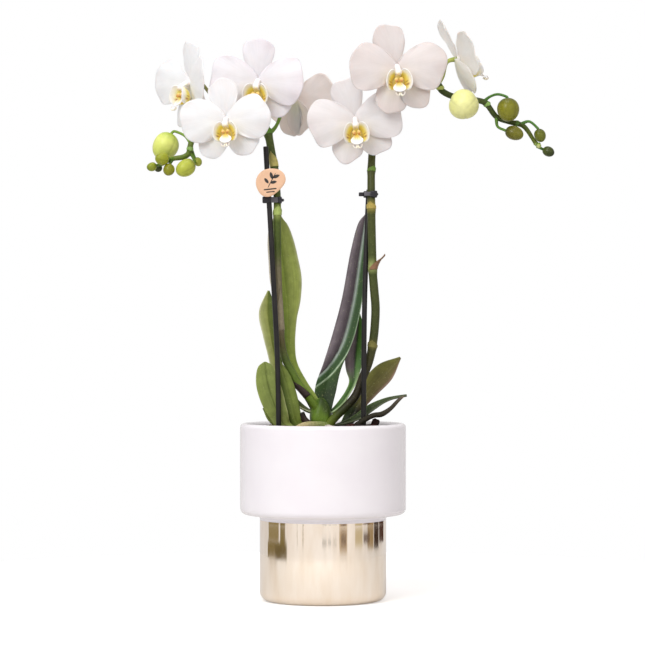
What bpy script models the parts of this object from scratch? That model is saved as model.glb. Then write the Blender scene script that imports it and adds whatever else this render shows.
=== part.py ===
"""Potted moth orchid: two flower spikes in a two-tier ceramic planter.

The planter stands on the floor with its axis on Z. A plastic nursery pot hangs inside it and holds
the bark. One crown carries nine leaves and two spikes, each tied to its own stake by a clip, with
seven open flowers and thirteen buds. -Y is the front of the plant.
"""

from math import atan2, cos, pi, radians, sin, tan

import bmesh
import bpy
from mathutils import Euler, Matrix, Vector

MM = 0.001
GAP = 0.35                     # clearance between pieces that touch, mm

# Planter, mm. The upper tier overhangs the lower one by a flat step.
UPPER_RADIUS = 58.0
LOWER_RADIUS = 44.2
PLANTER_HEIGHT = 124.0
STEP_HEIGHT = 60.5
UPPER_WALL = 5.5
LOWER_WALL = 5.7
LEDGE_RADIUS = 37.5            # inner edge of the ledge that the nursery pot wedges in
LEDGE_TOP = 66.0
FLOOR_THICKNESS = 6.0
FOOT_ROUNDING = 6.5
TURN_STEPS = 36

# Nursery pot and bark, mm.
POT_RIM_RADIUS = 45.0
POT_BASE_RADIUS = 33.0
POT_TOP = 119.0
POT_BOTTOM = 38.0
POT_WALL = 1.0
BARK_TOP = 116.0
BARK_BOTTOM = POT_BOTTOM + POT_WALL + GAP
BARK_BUMP = 1.2

# Stakes, spikes and clips, mm.
STAKE_RADIUS = 1.8
SPIKE_RADIUS = 2.6
PEDICEL_RADIUS = 1.3
BUD_STALK_RADIUS = 0.9
CLIP_HEIGHT = 4.9
LEAF_THICKNESS = 1.4
TEPAL_THICKNESS = 0.8

# Crown: an upright ellipsoid that the leaves and spikes grow from, mm.
CROWN_CENTRE = (-1.5, 0.0, 127.0)
CROWN_RADII = (7.6, 7.0, 15.0)

# A flower's own frame looks along -Y with +Z up. Lengths in mm, angles in degrees.
SEPAL_LENGTH = 28.5
SEPAL_HALF_WIDTH = 10.2
PETAL_LENGTH = 30.0
PETAL_DIRECTIONS = (3, 177)     # degrees from the flower's right-hand side
PETAL_FULLNESS = 0.9           # power of the cosine that draws a petal's round outline
SEPAL_SET_BACK = 2.3
HUB_RADIUS = 3.2
STALK_JOINT = SEPAL_SET_BACK + TEPAL_THICKNESS / 2 + GAP
PEDICEL_STRAIGHT = 6.0         # a pedicel's last stretch, square to the back of its flower

COLLECTION = "potted_orchid"
CUTTERS = "cutters"

# Paths run from the base up, as (x, y, z) in mm.
STAKE_PATHS = {
    "stake_left": [
        (-30.8, -16.0, 76.0), (-30.8, -16.0, 124.0), (-31.9, -15.0, 175.0), (-34.8, -13.0, 229.0),
        (-37.0, -10.5, 269.0), (-39.0, -9.5, 301.0), (-39.9, -9.5, 316.7),
    ],
    "stake_right": [
        (28.2, -12.0, 76.0), (28.2, -12.0, 124.0), (28.7, -10.5, 191.0), (29.6, -7.5, 229.0),
        (31.4, -3.5, 276.0), (32.1, -3.0, 287.0),
    ],
}

SPIKE_PATHS = {
    "spike_left": [
        (-5.0, -2.0, 136.0), (-8.4, -2.5, 140.3), (-12.6, -3.0, 145.9), (-17.5, -4.0, 152.2),
        (-21.6, -5.0, 159.9), (-25.8, -6.0, 167.6), (-28.7, -6.5, 178.0), (-30.1, -7.0, 193.0),
        (-30.8, -7.5, 210.0), (-31.5, -7.5, 231.0), (-31.8, -7.5, 247.0), (-31.9, -7.5, 265.0),
        (-32.0, -7.5, 283.0), (-34.0, -5.0, 303.0), (-36.2, -2.0, 315.0), (-38.4, 1.0, 326.0),
        (-42.8, 5.0, 336.6), (-51.3, 9.0, 345.4), (-62.0, 11.0, 350.4), (-73.2, 11.0, 349.0),
        (-83.0, 9.0, 340.4), (-89.1, 5.0, 329.6), (-92.4, 1.0, 320.2), (-93.7, -3.0, 313.0),
        (-97.7, -5.0, 310.0), (-104.0, -6.0, 308.9), (-109.0, -7.0, 306.8), (-112.5, -7.5, 304.5),
    ],
    "spike_right": [
        (2.8, -4.5, 125.0), (8.5, -6.0, 128.5), (16.0, -6.5, 135.7), (23.0, -6.5, 143.9),
        (27.9, -6.0, 156.5), (31.9, -6.0, 166.9), (34.4, -6.5, 177.4), (36.0, -7.5, 190.7),
        (36.6, -8.5, 204.6), (35.6, -9.0, 217.9), (34.6, -9.0, 231.4), (34.0, -9.0, 254.8),
        (33.7, -9.0, 273.7), (33.6, -7.5, 290.0), (33.8, -4.0, 303.0), (34.9, 0.0, 317.1),
        (38.6, 3.0, 330.9), (44.9, 5.0, 341.5), (52.0, 6.0, 350.0), (57.6, 5.0, 358.4),
        (62.4, 4.0, 363.2), (68.7, 3.0, 364.5), (75.7, 2.0, 363.4), (80.6, 1.0, 361.6),
        (83.2, 0.5, 356.8), (90.2, 0.0, 353.0), (98.6, -1.0, 351.4), (107.0, -2.0, 350.0),
        (114.0, -2.0, 347.6), (121.2, -2.0, 338.4), (130.2, -2.0, 334.8), (138.4, -2.0, 332.8),
        (142.5, -2.0, 329.4), (146.7, -2.0, 323.0), (150.4, -2.0, 317.4),
    ],
}

ROOT_PATHS = {
    "root_left": [(-3.5, -9.0, 119.5), (-10.0, -21.0, 119.5), (-11.0, -33.0, 119.6)],
    "root_right": [(2.0, -9.0, 119.5), (9.0, -20.0, 119.0), (20.0, -27.0, 119.3)],
    "root_strand": [
        (20.0, -16.0, 119.5), (27.2, -17.0, 127.0), (34.8, -14.0, 130.2), (43.9, -11.0, 133.2),
        (49.5, -10.0, 137.0), (53.0, -9.5, 140.1),
    ],
}
ROOT_RADII = {"root_left": 2.0, "root_right": 2.0, "root_strand": 1.4}

# Leaves: midrib points, the half-width at each, the direction across the blade at the base and at
# the tip (degrees in the XY plane, 0 is +X), and how far the margins lift off the midrib.
LEAVES = {
    "leaf_left_tall": {
        "midrib": [
            (-3.0, 1.0, 134.0), (-8.4, 2.0, 141.6), (-14.4, 3.0, 150.7), (-21.7, 4.5, 164.7),
            (-23.7, 5.5, 178.7), (-24.0, 6.0, 196.3), (-24.6, 6.5, 210.3), (-26.1, 6.5, 224.3),
            (-27.9, 6.5, 238.4), (-30.0, 6.5, 252.4), (-31.4, 6.5, 264.0), (-30.5, 6.5, 270.6),
        ],
        "half_width": [4.0, 4.2, 4.0, 4.0, 4.2, 5.6, 9.0, 11.4, 10.7, 9.1, 5.0, 0.6],
        "across": (0.0, 0.0), "fold": -0.15,
    },
    "leaf_right_tall": {
        "midrib": [
            (1.4, 4.6, 134.0), (2.0, 7.6, 148.6), (7.4, 8.2, 164.0), (14.7, 9.0, 185.7),
            (20.7, 10.0, 210.3), (25.2, 10.5, 241.9), (28.4, 10.0, 262.3), (30.0, 9.5, 270.4),
        ],
        "half_width": [4.4, 7.2, 6.4, 7.6, 7.2, 6.2, 4.0, 0.6],
        "across": (0.0, 0.0), "fold": 0.35,
    },
    "leaf_right_mid": {
        "midrib": [
            (0.7, 3.0, 129.0), (6.3, 5.0, 131.5), (12.5, 8.0, 137.0), (17.9, 11.0, 145.4),
            (21.1, 13.5, 153.0), (21.4, 16.0, 161.5), (22.0, 18.5, 172.0), (23.2, 19.5, 183.0),
            (24.4, 20.0, 193.0), (25.4, 20.0, 201.9),
        ],
        "half_width": [2.6, 2.6, 2.6, 2.2, 2.8, 5.4, 6.6, 6.4, 4.2, 0.6],
        "across": (-80.0, 0.0), "fold": 0.3,
    },
    "leaf_left_back": {
        "midrib": [
            (-3.0, 4.0, 130.0), (-13.0, 10.0, 133.0), (-24.0, 13.0, 141.5), (-30.3, 14.0, 154.0),
            (-34.2, 14.0, 171.6), (-36.7, 14.0, 185.7), (-38.8, 14.0, 201.9), (-38.4, 14.0, 217.0),
        ],
        "half_width": [3.5, 4.0, 4.2, 4.4, 4.4, 5.4, 6.2, 0.8],
        "across": (80.0, 0.0), "fold": 0.3,
    },
    "leaf_left_low": {
        "midrib": [
            (-4.0, -5.0, 120.3), (-16.0, -9.6, 120.4), (-26.6, -11.0, 123.2), (-31.6, -11.2, 132.2),
            (-35.4, -11.2, 142.0), (-38.6, -11.2, 153.1), (-40.2, -11.2, 166.8),
        ],
        "half_width": [2.4, 3.0, 5.0, 7.0, 8.1, 7.9, 4.2],
        "across": (60.0, 0.0), "fold": 0.05,
    },
    "leaf_left_inner": {
        "midrib": [
            (-4.0, -1.0, 121.0), (-12.0, -2.6, 121.0), (-17.2, -4.8, 123.8), (-20.4, -6.8, 131.6),
            (-23.6, -7.6, 144.6), (-27.0, -7.8, 156.5), (-30.7, -7.8, 167.7),
        ],
        "half_width": [1.6, 1.8, 3.0, 4.8, 5.2, 4.4, 0.8],
        "across": (50.0, 0.0), "fold": 0.05,
    },
    "leaf_left_small": {
        "midrib": [
            (-4.0, 3.0, 119.5), (-15.0, 3.0, 119.4), (-27.0, 2.0, 120.8), (-36.0, 0.0, 127.5),
            (-41.9, -1.0, 134.6),
        ],
        "half_width": [2.2, 2.6, 3.4, 3.2, 0.6],
        "across": (80.0, 30.0), "fold": 0.1,
    },
    "leaf_right_low": {
        "midrib": [
            (1.0, 3.0, 122.0), (12.5, 6.0, 121.5), (19.2, 8.0, 127.5), (25.3, 9.0, 138.4),
            (33.0, 10.0, 148.6), (43.8, 10.0, 160.0), (54.4, 9.5, 169.9),
        ],
        "half_width": [2.6, 3.4, 5.0, 5.8, 7.0, 6.8, 0.8],
        "across": (-80.0, 0.0), "fold": 0.15,
    },
    "leaf_right_narrow": {
        "midrib": [
            (1.0, -1.0, 124.0), (11.0, -0.5, 123.0), (23.0, -3.0, 127.6), (34.2, -4.5, 134.8),
            (45.4, -4.5, 140.6), (58.5, -4.5, 143.7),
        ],
        "half_width": [1.8, 2.0, 2.8, 3.2, 2.4, 0.5],
        "across": (-75.0, -30.0), "fold": 0.2,
    },
}

# Flowers: centre in mm, the turns pitch, roll and yaw in degrees, size, how far the petals, the
# dorsal sepal and the lateral sepals lean forward in degrees, the directions of the dorsal and the
# two lateral sepals in degrees, the laterals' share of the usual length, and the pedicel's way from
# the spike.
FLOWERS = {
    "flower_1": {
        "centre": (-93.5, 8.0, 363.3), "turn": (0, 0, -55), "size": 1.0, "lean": (18, 8, 6),
        "sepals": (90, -66, -114), "lateral_share": 1.18, "spike": "spike_left",
        "pedicel": [(-73.2, 11.0, 349.0), (-79.0, 14.5, 355.0)],
    },
    "flower_2": {
        "centre": (-66.8, -30.0, 334.7), "turn": (0, -4, -6), "size": 0.98, "lean": (12, 6, 3),
        "sepals": (93, -55, -125), "lateral_share": 1.06, "spike": "spike_left",
        "pedicel": [(-83.0, 9.0, 340.4), (-81.0, 0.0, 337.5), (-72.0, -10.0, 334.0)],
    },
    "flower_3": {
        "centre": (-45.2, -12.0, 362.4), "turn": (0, 2, -8), "size": 1.05, "lean": (14, 6, 3),
        "sepals": (92, -48, -98), "lateral_share": 1.0, "spike": "spike_left",
        "pedicel": [(-51.3, 9.0, 345.4), (-47.5, 9.5, 355.0)],
    },
    "flower_4": {
        "centre": (-19.2, 26.0, 353.0), "turn": (0, 4, 142), "size": 0.97, "lean": (14, 6, 3),
        "sepals": (90, -76, -106), "lateral_share": 0.96, "spike": "spike_left",
        "pedicel": [(-38.7, 1.0, 325.8), (-33.0, 3.0, 332.0), (-29.0, 7.0, 342.0)],
    },
    "flower_5": {
        "centre": (22.2, -18.0, 335.3), "turn": (0, -5, 0), "size": 1.04, "lean": (12, 6, 3),
        "sepals": (102, -49, -110), "lateral_share": 1.04, "spike": "spike_right",
        "pedicel": [(38.6, 3.0, 330.9), (31.0, 0.0, 335.0)],
    },
    "flower_6": {
        "centre": (50.9, -34.0, 370.4), "turn": (0, -3, 4), "size": 1.05, "lean": (12, 6, 3),
        "sepals": (104, -56, -102), "lateral_share": 1.1, "spike": "spike_right",
        "pedicel": [(57.6, 5.0, 358.4), (56.5, -4.0, 366.0), (52.5, -14.0, 370.0)],
    },
    "flower_7": {
        "centre": (95.0, -2.0, 379.4), "turn": (-20, 0, 100), "size": 1.02, "lean": (11, -1, 4),
        "sepals": (90, -60, -120), "lateral_share": 1.0, "spike": "spike_right",
        "pedicel": [(80.6, 1.0, 361.8), (84.0, 0.0, 367.0)],
    },
}

# Buds: centre, width and length in mm, the direction from the centre to the stalk, and the stalk's
# way from the spike.
BUDS = {
    "bud_left_1": {
        "centre": (-110.6, 2.0, 318.0), "size": (17.4, 19.4), "stalk_side": (0.45, 0.1, 0.9),
        "spike": "spike_left", "stalk": [(-92.4, 1.0, 320.2), (-97.0, 2.0, 325.4), (-103.5, 3.0, 328.4)],
    },
    "bud_left_2": {
        "centre": (-111.8, -15.0, 308.2), "size": (8.8, 10.6), "stalk_side": (0.6, 0.8, 0.0),
        "spike": "spike_left", "stalk": [(-104.0, -6.0, 308.9)],
    },
    "bud_left_3": {
        "centre": (-119.2, -11.0, 302.9), "size": (6.2, 7.0), "stalk_side": (0.8, 0.45, 0.3),
        "spike": "spike_left", "stalk": [(-112.0, -7.3, 304.8)],
    },
    "bud_left_4": {
        "centre": (-115.2, -1.4, 302.4), "size": (5.2, 6.0), "stalk_side": (0.5, -0.7, 0.4),
        "spike": "spike_left", "stalk": [(-109.5, -7.0, 306.5)],
    },
    "bud_left_5": {
        "centre": (-107.2, -13.2, 300.7), "size": (8.0, 8.6), "stalk_side": (0.1, 0.65, 0.75),
        "spike": "spike_left", "stalk": [(-105.0, -6.2, 308.6)],
    },
    "bud_left_6": {
        "centre": (-95.7, -10.0, 302.2), "size": (11.8, 14.7), "stalk_side": (0.7, 0.5, 0.5),
        "spike": "spike_left", "stalk": [(-93.6, -2.5, 313.8), (-91.0, -4.0, 310.0)],
    },
    "bud_left_7": {
        "centre": (-87.6, -1.6, 306.9), "size": (5.8, 6.4), "stalk_side": (-0.5, 0.3, 0.8),
        "spike": "spike_left", "stalk": [(-92.8, 0.0, 318.0)],
    },
    "bud_right_1": {
        "centre": (97.2, -26.0, 344.8), "size": (20.6, 21.0), "stalk_side": (0.0, 0.9, 0.35),
        "spike": "spike_right", "stalk": [(92.4, 0.0, 352.4)],
    },
    "bud_right_2": {
        "centre": (129.0, -8.0, 342.8), "size": (15.4, 16.0), "stalk_side": (-0.1, 0.1, 0.95),
        "spike": "spike_right", "stalk": [(112.0, -2.0, 348.6), (116.5, -3.0, 352.2), (122.0, -5.0, 353.8)],
    },
    "bud_right_3": {
        "centre": (133.3, -9.0, 326.4), "size": (9.8, 12.6), "stalk_side": (-0.9, 0.2, 0.3),
        "spike": "spike_right", "stalk": [(121.2, -2.0, 338.1), (121.8, -5.0, 331.5)],
    },
    "bud_right_4": {
        "centre": (151.4, -6.0, 325.0), "size": (8.0, 9.2), "stalk_side": (-0.3, 0.2, 0.9),
        "spike": "spike_right", "stalk": [(137.5, -2.0, 332.8), (144.0, -3.0, 335.0)],
    },
    "bud_right_5": {
        "centre": (157.4, -5.0, 313.8), "size": (7.0, 8.4), "stalk_side": (-0.85, 0.35, 0.4),
        "spike": "spike_right", "stalk": [(149.8, -2.0, 317.8)],
    },
    "bud_right_6": {
        "centre": (150.4, -8.4, 317.6), "size": (3.4, 4.0), "stalk_side": (0.2, 0.8, 0.55),
        "spike": "spike_right", "stalk": [(149.2, -2.0, 318.6)],
    },
}

TAG_CENTRE = (-36.2, -17.6, 291.4)
TAG_SIZE = (20.6, 20.0)
TAG_THICKNESS = 0.8

# Base colour, roughness and metallic.
MATERIALS = {
    "glazed_ceramic": ((0.88, 0.86, 0.90), 0.12, 0.0),
    "pot_plastic": ((0.10, 0.10, 0.10), 0.5, 0.0),
    "bark": ((0.12, 0.06, 0.04), 0.9, 0.0),
    "stake_plastic": ((0.03, 0.03, 0.035), 0.35, 0.0),
    "clip_plastic": ((0.02, 0.02, 0.022), 0.3, 0.0),
    "tag_card": ((0.85, 0.55, 0.38), 0.6, 0.0),
    "leaf_green": ((0.16, 0.27, 0.05), 0.4, 0.0),
    "stem_green": ((0.10, 0.22, 0.05), 0.45, 0.0),
    "root_skin": ((0.35, 0.36, 0.20), 0.6, 0.0),
    "petal_white": ((0.88, 0.84, 0.83), 0.5, 0.0),
    "lip_yellow": ((0.90, 0.70, 0.18), 0.45, 0.0),
    "bud_green": ((0.52, 0.60, 0.16), 0.45, 0.0),
}


def clear_scene():
    """Remove every object that is in the file."""
    for old in list(bpy.data.objects):
        bpy.data.objects.remove(old, do_unlink=True)


def new_collection(name):
    """A collection linked to the scene."""
    collection = bpy.data.collections.new(name)
    bpy.context.scene.collection.children.link(collection)
    return collection


def make_material(name):
    """A Principled material from the table above."""
    color, roughness, metallic = MATERIALS[name]
    material = bpy.data.materials.new(name)
    material.use_nodes = True
    shader = material.node_tree.nodes["Principled BSDF"]
    shader.inputs["Base Color"].default_value = (*color, 1.0)
    shader.inputs["Roughness"].default_value = roughness
    shader.inputs["Metallic"].default_value = metallic
    material.diffuse_color = (*color, 1.0)
    return material


def add_object(name, mesh, material=None, cutter=False):
    """Put a mesh in the scene as one named piece, or as a hidden cutter."""
    piece = bpy.data.objects.new(name, mesh)
    if cutter:
        cutter_collection.objects.link(piece)
        piece.hide_render = True
        piece.display_type = "WIRE"
    else:
        part_collection.objects.link(piece)
        mesh.materials.append(materials[material])
    return piece


def bm_object(name, bm, material=None, cutter=False, smooth=True):
    """Turn a bmesh into an object and free it."""
    bmesh.ops.recalc_face_normals(bm, faces=bm.faces)
    mesh = bpy.data.meshes.new(name)
    bm.to_mesh(mesh)
    bm.free()
    if smooth:
        mesh.polygons.foreach_set("use_smooth", [True] * len(mesh.polygons))
    return add_object(name, mesh, material, cutter)


def applied(obj):
    """Replace an object's data with what its modifiers make, so it can be cut again or joined."""
    graph = bpy.context.evaluated_depsgraph_get()
    mesh = bpy.data.meshes.new_from_object(obj.evaluated_get(graph))
    obj.modifiers.clear()
    obj.data = mesh
    return obj


def boolean(obj, other, operation):
    """Add one exact Boolean modifier."""
    modifier = obj.modifiers.new(operation.lower(), "BOOLEAN")
    modifier.operation = operation
    modifier.solver = "EXACT"
    modifier.object = other


def smooth_path(points, spacing):
    """Points along a Catmull-Rom curve through the given ones, about one spacing apart."""
    knots = [Vector(point) for point in points]
    ends = [2 * knots[0] - knots[1]] + knots + [2 * knots[-1] - knots[-2]]
    path = []
    for before, start, stop, after in zip(ends, ends[1:], ends[2:], ends[3:]):
        count = max(1, round((stop - start).length / spacing))
        for step in range(count):
            t = step / count
            path.append(0.5 * (
                2 * start
                + (stop - before) * t
                + (2 * before - 5 * start + 4 * stop - after) * t ** 2
                + (3 * start - before - 3 * stop + after) * t ** 3
            ))
    path.append(knots[-1])
    return path


def tube(name, points, radius, material=None, cutter=False, taper=1.0, spacing=7.0):
    """A round rod along a path in mm, as one closed mesh. Taper is the end's share of the radius."""
    path = smooth_path(points, spacing)
    curve = bpy.data.curves.new(name, "CURVE")
    curve.dimensions = "3D"
    curve.bevel_depth = radius * MM
    curve.bevel_resolution = 2
    curve.use_fill_caps = True
    spline = curve.splines.new("POLY")
    spline.points.add(len(path) - 1)
    for index, (point, spot) in enumerate(zip(spline.points, path)):
        point.co = (*(spot * MM), 1.0)
        point.radius = 1.0 + (taper - 1.0) * index / (len(path) - 1)
    source = bpy.data.objects.new(name + "_curve", curve)
    part_collection.objects.link(source)
    graph = bpy.context.evaluated_depsgraph_get()
    mesh = bpy.data.meshes.new_from_object(source.evaluated_get(graph))
    bm = bmesh.new()
    bm.from_mesh(mesh)
    bmesh.ops.remove_doubles(bm, verts=bm.verts, dist=0.00001)
    bpy.data.objects.remove(source, do_unlink=True)
    bpy.data.meshes.remove(mesh)
    return bm_object(name, bm, material, cutter)


def turned(name, profile, material, steps=TURN_STEPS):
    """A solid of revolution from a closed or axis-to-axis profile of (radius, height) in mm."""
    mesh = bpy.data.meshes.new(name)
    bm = bmesh.new()
    verts = [bm.verts.new((r * MM, 0.0, z * MM)) for r, z in profile]
    for start, stop in zip(verts, verts[1:]):
        bm.edges.new((start, stop))
    bm.to_mesh(mesh)
    bm.free()
    obj = add_object(name, mesh, material)
    screw = obj.modifiers.new("screw", "SCREW")
    screw.steps = steps
    screw.render_steps = steps
    screw.use_merge_vertices = True
    screw.merge_threshold = 0.00001
    screw.use_smooth_shade = True
    applied(obj)
    bm = bmesh.new()
    bm.from_mesh(obj.data)
    bmesh.ops.remove_doubles(bm, verts=bm.verts, dist=0.00001)
    bmesh.ops.recalc_face_normals(bm, faces=bm.faces)
    bm.to_mesh(obj.data)
    bm.free()
    return obj


def arc(centre, radius, start, stop, count):
    """Points of a round corner: angles in degrees, 0 is outwards and 90 is up."""
    angles = [radians(start + (stop - start) * step / count) for step in range(count + 1)]
    return [(centre[0] + radius * cos(a), centre[1] + radius * sin(a)) for a in angles]


def ellipsoid(name, centre, radii, material=None, cutter=False, axis=(0, 0, 1), fineness=(10, 6)):
    """A closed egg shape: its third radius lies along the axis."""
    bm = bmesh.new()
    bmesh.ops.create_uvsphere(bm, u_segments=fineness[0], v_segments=fineness[1], radius=1.0)
    bmesh.ops.scale(bm, verts=bm.verts, vec=Vector(radii) * MM)
    turn = Vector(axis).to_track_quat("Z", "Y").to_matrix().to_4x4()
    bmesh.ops.transform(bm, matrix=Matrix.Translation(Vector(centre) * MM) @ turn, verts=bm.verts)
    return bm_object(name, bm, material, cutter)


def box(name, low, high, material=None, cutter=False, rounding=0.0):
    """A box between two corners in mm, with its edges rounded."""
    bm = bmesh.new()
    size = Vector(high) - Vector(low)
    middle = (Vector(high) + Vector(low)) / 2
    bmesh.ops.create_cube(bm, size=1.0)
    bmesh.ops.scale(bm, verts=bm.verts, vec=size * MM)
    bmesh.ops.translate(bm, verts=bm.verts, vec=middle * MM)
    if rounding:
        bmesh.ops.bevel(bm, geom=bm.edges, offset=rounding * MM, segments=1, affect="EDGES")
    return bm_object(name, bm, material, cutter, smooth=False)


def planter():
    """The two-tier ceramic pot: a hollow turned body with an inner ledge under the wide tier."""
    inner_upper = UPPER_RADIUS - UPPER_WALL
    inner_lower = LOWER_RADIUS - LOWER_WALL
    lip = UPPER_WALL / 2
    profile = [(0.0, FLOOR_THICKNESS), (inner_lower - 4.0, FLOOR_THICKNESS)]
    profile += [(inner_lower, FLOOR_THICKNESS + 4.0), (inner_lower, LEDGE_TOP - 6.0)]
    profile += [(LEDGE_RADIUS, LEDGE_TOP - 4.0), (LEDGE_RADIUS, LEDGE_TOP)]
    profile += [(inner_upper - 3.0, LEDGE_TOP), (inner_upper, LEDGE_TOP + 3.0)]
    profile += arc((inner_upper + lip, PLANTER_HEIGHT - lip), lip, 180, 0, 6)
    profile += arc((UPPER_RADIUS - 4.0, STEP_HEIGHT + 4.0), 4.0, 0, -90, 3)
    profile += [(LOWER_RADIUS + 1.5, STEP_HEIGHT), (LOWER_RADIUS, STEP_HEIGHT - 1.5)]
    profile += arc((LOWER_RADIUS - FOOT_ROUNDING, FOOT_ROUNDING), FOOT_ROUNDING, 0, -90, 4)
    profile += [(0.0, 0.0)]
    return turned("planter", profile[::-1], "glazed_ceramic")


def pot_radius(height):
    """The nursery pot's outer radius at a height."""
    share = (height - POT_BOTTOM) / (POT_TOP - POT_BOTTOM)
    return POT_BASE_RADIUS + (POT_RIM_RADIUS - POT_BASE_RADIUS) * share


def nursery_pot():
    """The thin tapered grower's pot that wedges in the planter's ledge."""
    base_z = POT_BOTTOM + POT_WALL
    profile = [(0.0, POT_BOTTOM), (POT_BASE_RADIUS, POT_BOTTOM), (POT_RIM_RADIUS, POT_TOP)]
    profile += [(POT_RIM_RADIUS - POT_WALL, POT_TOP), (pot_radius(base_z) - POT_WALL, base_z)]
    profile += [(0.0, base_z)]
    return turned("nursery_pot", profile, "pot_plastic", 28)


def bark_bed():
    """The bark that fills the nursery pot: a tapered plug with an uneven top."""
    top_radius = pot_radius(BARK_TOP) - POT_WALL - GAP - BARK_BUMP * 0.2
    base_radius = pot_radius(BARK_BOTTOM) - POT_WALL - GAP
    rings = [0.3, 0.55, 0.8]
    profile = [(0.0, BARK_BOTTOM), (base_radius, BARK_BOTTOM), (top_radius, BARK_TOP - 1.5)]
    profile += [(top_radius - 1.5, BARK_TOP)]
    profile += [(top_radius * share, BARK_TOP) for share in rings[::-1]]
    profile += [(0.0, BARK_TOP)]
    bed = turned("bark_bed", profile, "bark", 24)
    for vertex in bed.data.vertices:
        x, y, z = vertex.co / MM
        if z > BARK_TOP - 0.1:
            vertex.co.z += BARK_BUMP * sin(x * 0.35 + 1.0) * cos(y * 0.4) * MM
    boolean(bed, crown_cutter, "DIFFERENCE")
    for name, path in STAKE_PATHS.items():
        foot = Vector(path[0]) - Vector((0.0, 0.0, GAP))
        socket = tube(name + "_socket", [foot, path[1]], STAKE_RADIUS + GAP, cutter=True, spacing=60.0)
        boolean(bed, socket, "DIFFERENCE")
    return applied(bed)


def grown(radii):
    """Radii one gap larger."""
    return tuple(radius + GAP for radius in radii)


def crown():
    """The short stem at the bark's surface."""
    return ellipsoid("crown", CROWN_CENTRE, CROWN_RADII, "leaf_green", fineness=(14, 10))


def trim_to_crown(obj):
    """Cut away what would run into the crown, with the usual gap."""
    boolean(obj, crown_cutter, "DIFFERENCE")
    return applied(obj)


def between(values, share):
    """Read a list of numbers or vectors at a share of its length, from 0 to 1."""
    place = share * (len(values) - 1)
    index = min(int(place), len(values) - 2)
    rest = place - index
    return values[index] * (1 - rest) + values[index + 1] * rest


def leaf(name, spec, cells=(4, 11)):
    """A strap-shaped blade: a grid swept along the midrib, folded about it, then given thickness."""
    midrib = [Vector(point) for point in spec["midrib"]]
    bm = bmesh.new()
    bmesh.ops.create_grid(bm, x_segments=cells[0], y_segments=cells[1], size=1.0)
    start_angle, stop_angle = (radians(angle) for angle in spec["across"])
    for vertex in bm.verts:
        side = vertex.co.x
        share = (vertex.co.y + 1) / 2
        centre = between(midrib, share)
        nearby = max(0.0, share - 0.04), min(1.0, share + 0.04)
        along = (between(midrib, nearby[1]) - between(midrib, nearby[0])).normalized()
        blend = min(1.0, share * 2.5)
        angle = start_angle + (stop_angle - start_angle) * blend
        across = Vector((cos(angle), sin(angle), 0.0))
        across = (across - along * across.dot(along)).normalized()
        normal = across.cross(along)
        half = between(spec["half_width"], share)
        vertex.co = (centre + across * half * side + normal * half * abs(side) * spec["fold"]) * MM
    blade = bm_object(name, bm, "leaf_green")
    shell = blade.modifiers.new("thickness", "SOLIDIFY")
    shell.thickness = LEAF_THICKNESS * MM
    shell.offset = 0.0
    return trim_to_crown(applied(blade))


def lobe_radius(angle, lobes):
    """The outline of a ring of rounded lobes at an angle: the longest reach of any lobe there."""
    reach = HUB_RADIUS
    for axis, length, half_width in lobes:
        away = abs(atan2(sin(angle - axis), cos(angle - axis)))
        if away >= pi / 2 - 0.01:
            continue
        if half_width is None:
            reach = max(reach, length * cos(away) ** PETAL_FULLNESS)
            continue
        half_length = length / 2
        flat = half_width ** 2 * cos(away) ** 2 + half_length ** 2 * sin(away) ** 2
        reach = max(reach, length * cos(away) * half_width ** 2 / flat)
    return reach


def lobed_disc(name, lobes, leans, set_back, size, spokes=32, rings=2):
    """Tepals that share one hub: a polar grid out to the lobes' outline, each lobe leaning forward."""
    bm = bmesh.new()
    bmesh.ops.create_grid(bm, x_segments=spokes, y_segments=rings, size=1.0)
    for vertex in bm.verts:
        angle = pi * (vertex.co.x + 1)
        share = (vertex.co.y + 1) / 2
        radius = lobe_radius(angle, lobes) * share * size
        weights = [max(0.0, cos(angle - axis)) ** 2 for axis, _, _ in lobes]
        forward = sum(weight * tan(radians(lean)) for weight, lean in zip(weights, leans))
        vertex.co = Vector((radius * cos(angle), set_back - radius * forward, radius * sin(angle))) * MM
    bmesh.ops.remove_doubles(bm, verts=bm.verts, dist=0.00001)
    tepals = bm_object(name, bm, "petal_white")
    shell = tepals.modifiers.new("thickness", "SOLIDIFY")
    shell.thickness = TEPAL_THICKNESS * MM
    shell.offset = 0.0
    return tepals


def lip(name, size):
    """The lip with its two side lobes, grown together with the column above it."""
    pieces = [
        ((0.0, -5.4, -2.6), (2.3, 4.5, 5.4)),
        ((-4.4, -9.2, -8.4), (4.4, 3.2, 4.6)),
        ((4.4, -9.2, -8.4), (4.4, 3.2, 4.6)),
        ((0.0, -9.4, -11.6), (4.0, 3.6, 6.8)),
    ]
    body = None
    for index, (centre, radii) in enumerate(pieces):
        place = Vector(centre) * size
        spread = Vector(radii) * size
        if body is None:
            body = ellipsoid(name, place, spread, "lip_yellow", fineness=(8, 5))
            continue
        extra = ellipsoid(f"{name}_lobe_{index}", place, spread, cutter=True, fineness=(8, 5))
        boolean(body, extra, "UNION")
        applied(body)
        bpy.data.objects.remove(extra, do_unlink=True)
    return body


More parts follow.
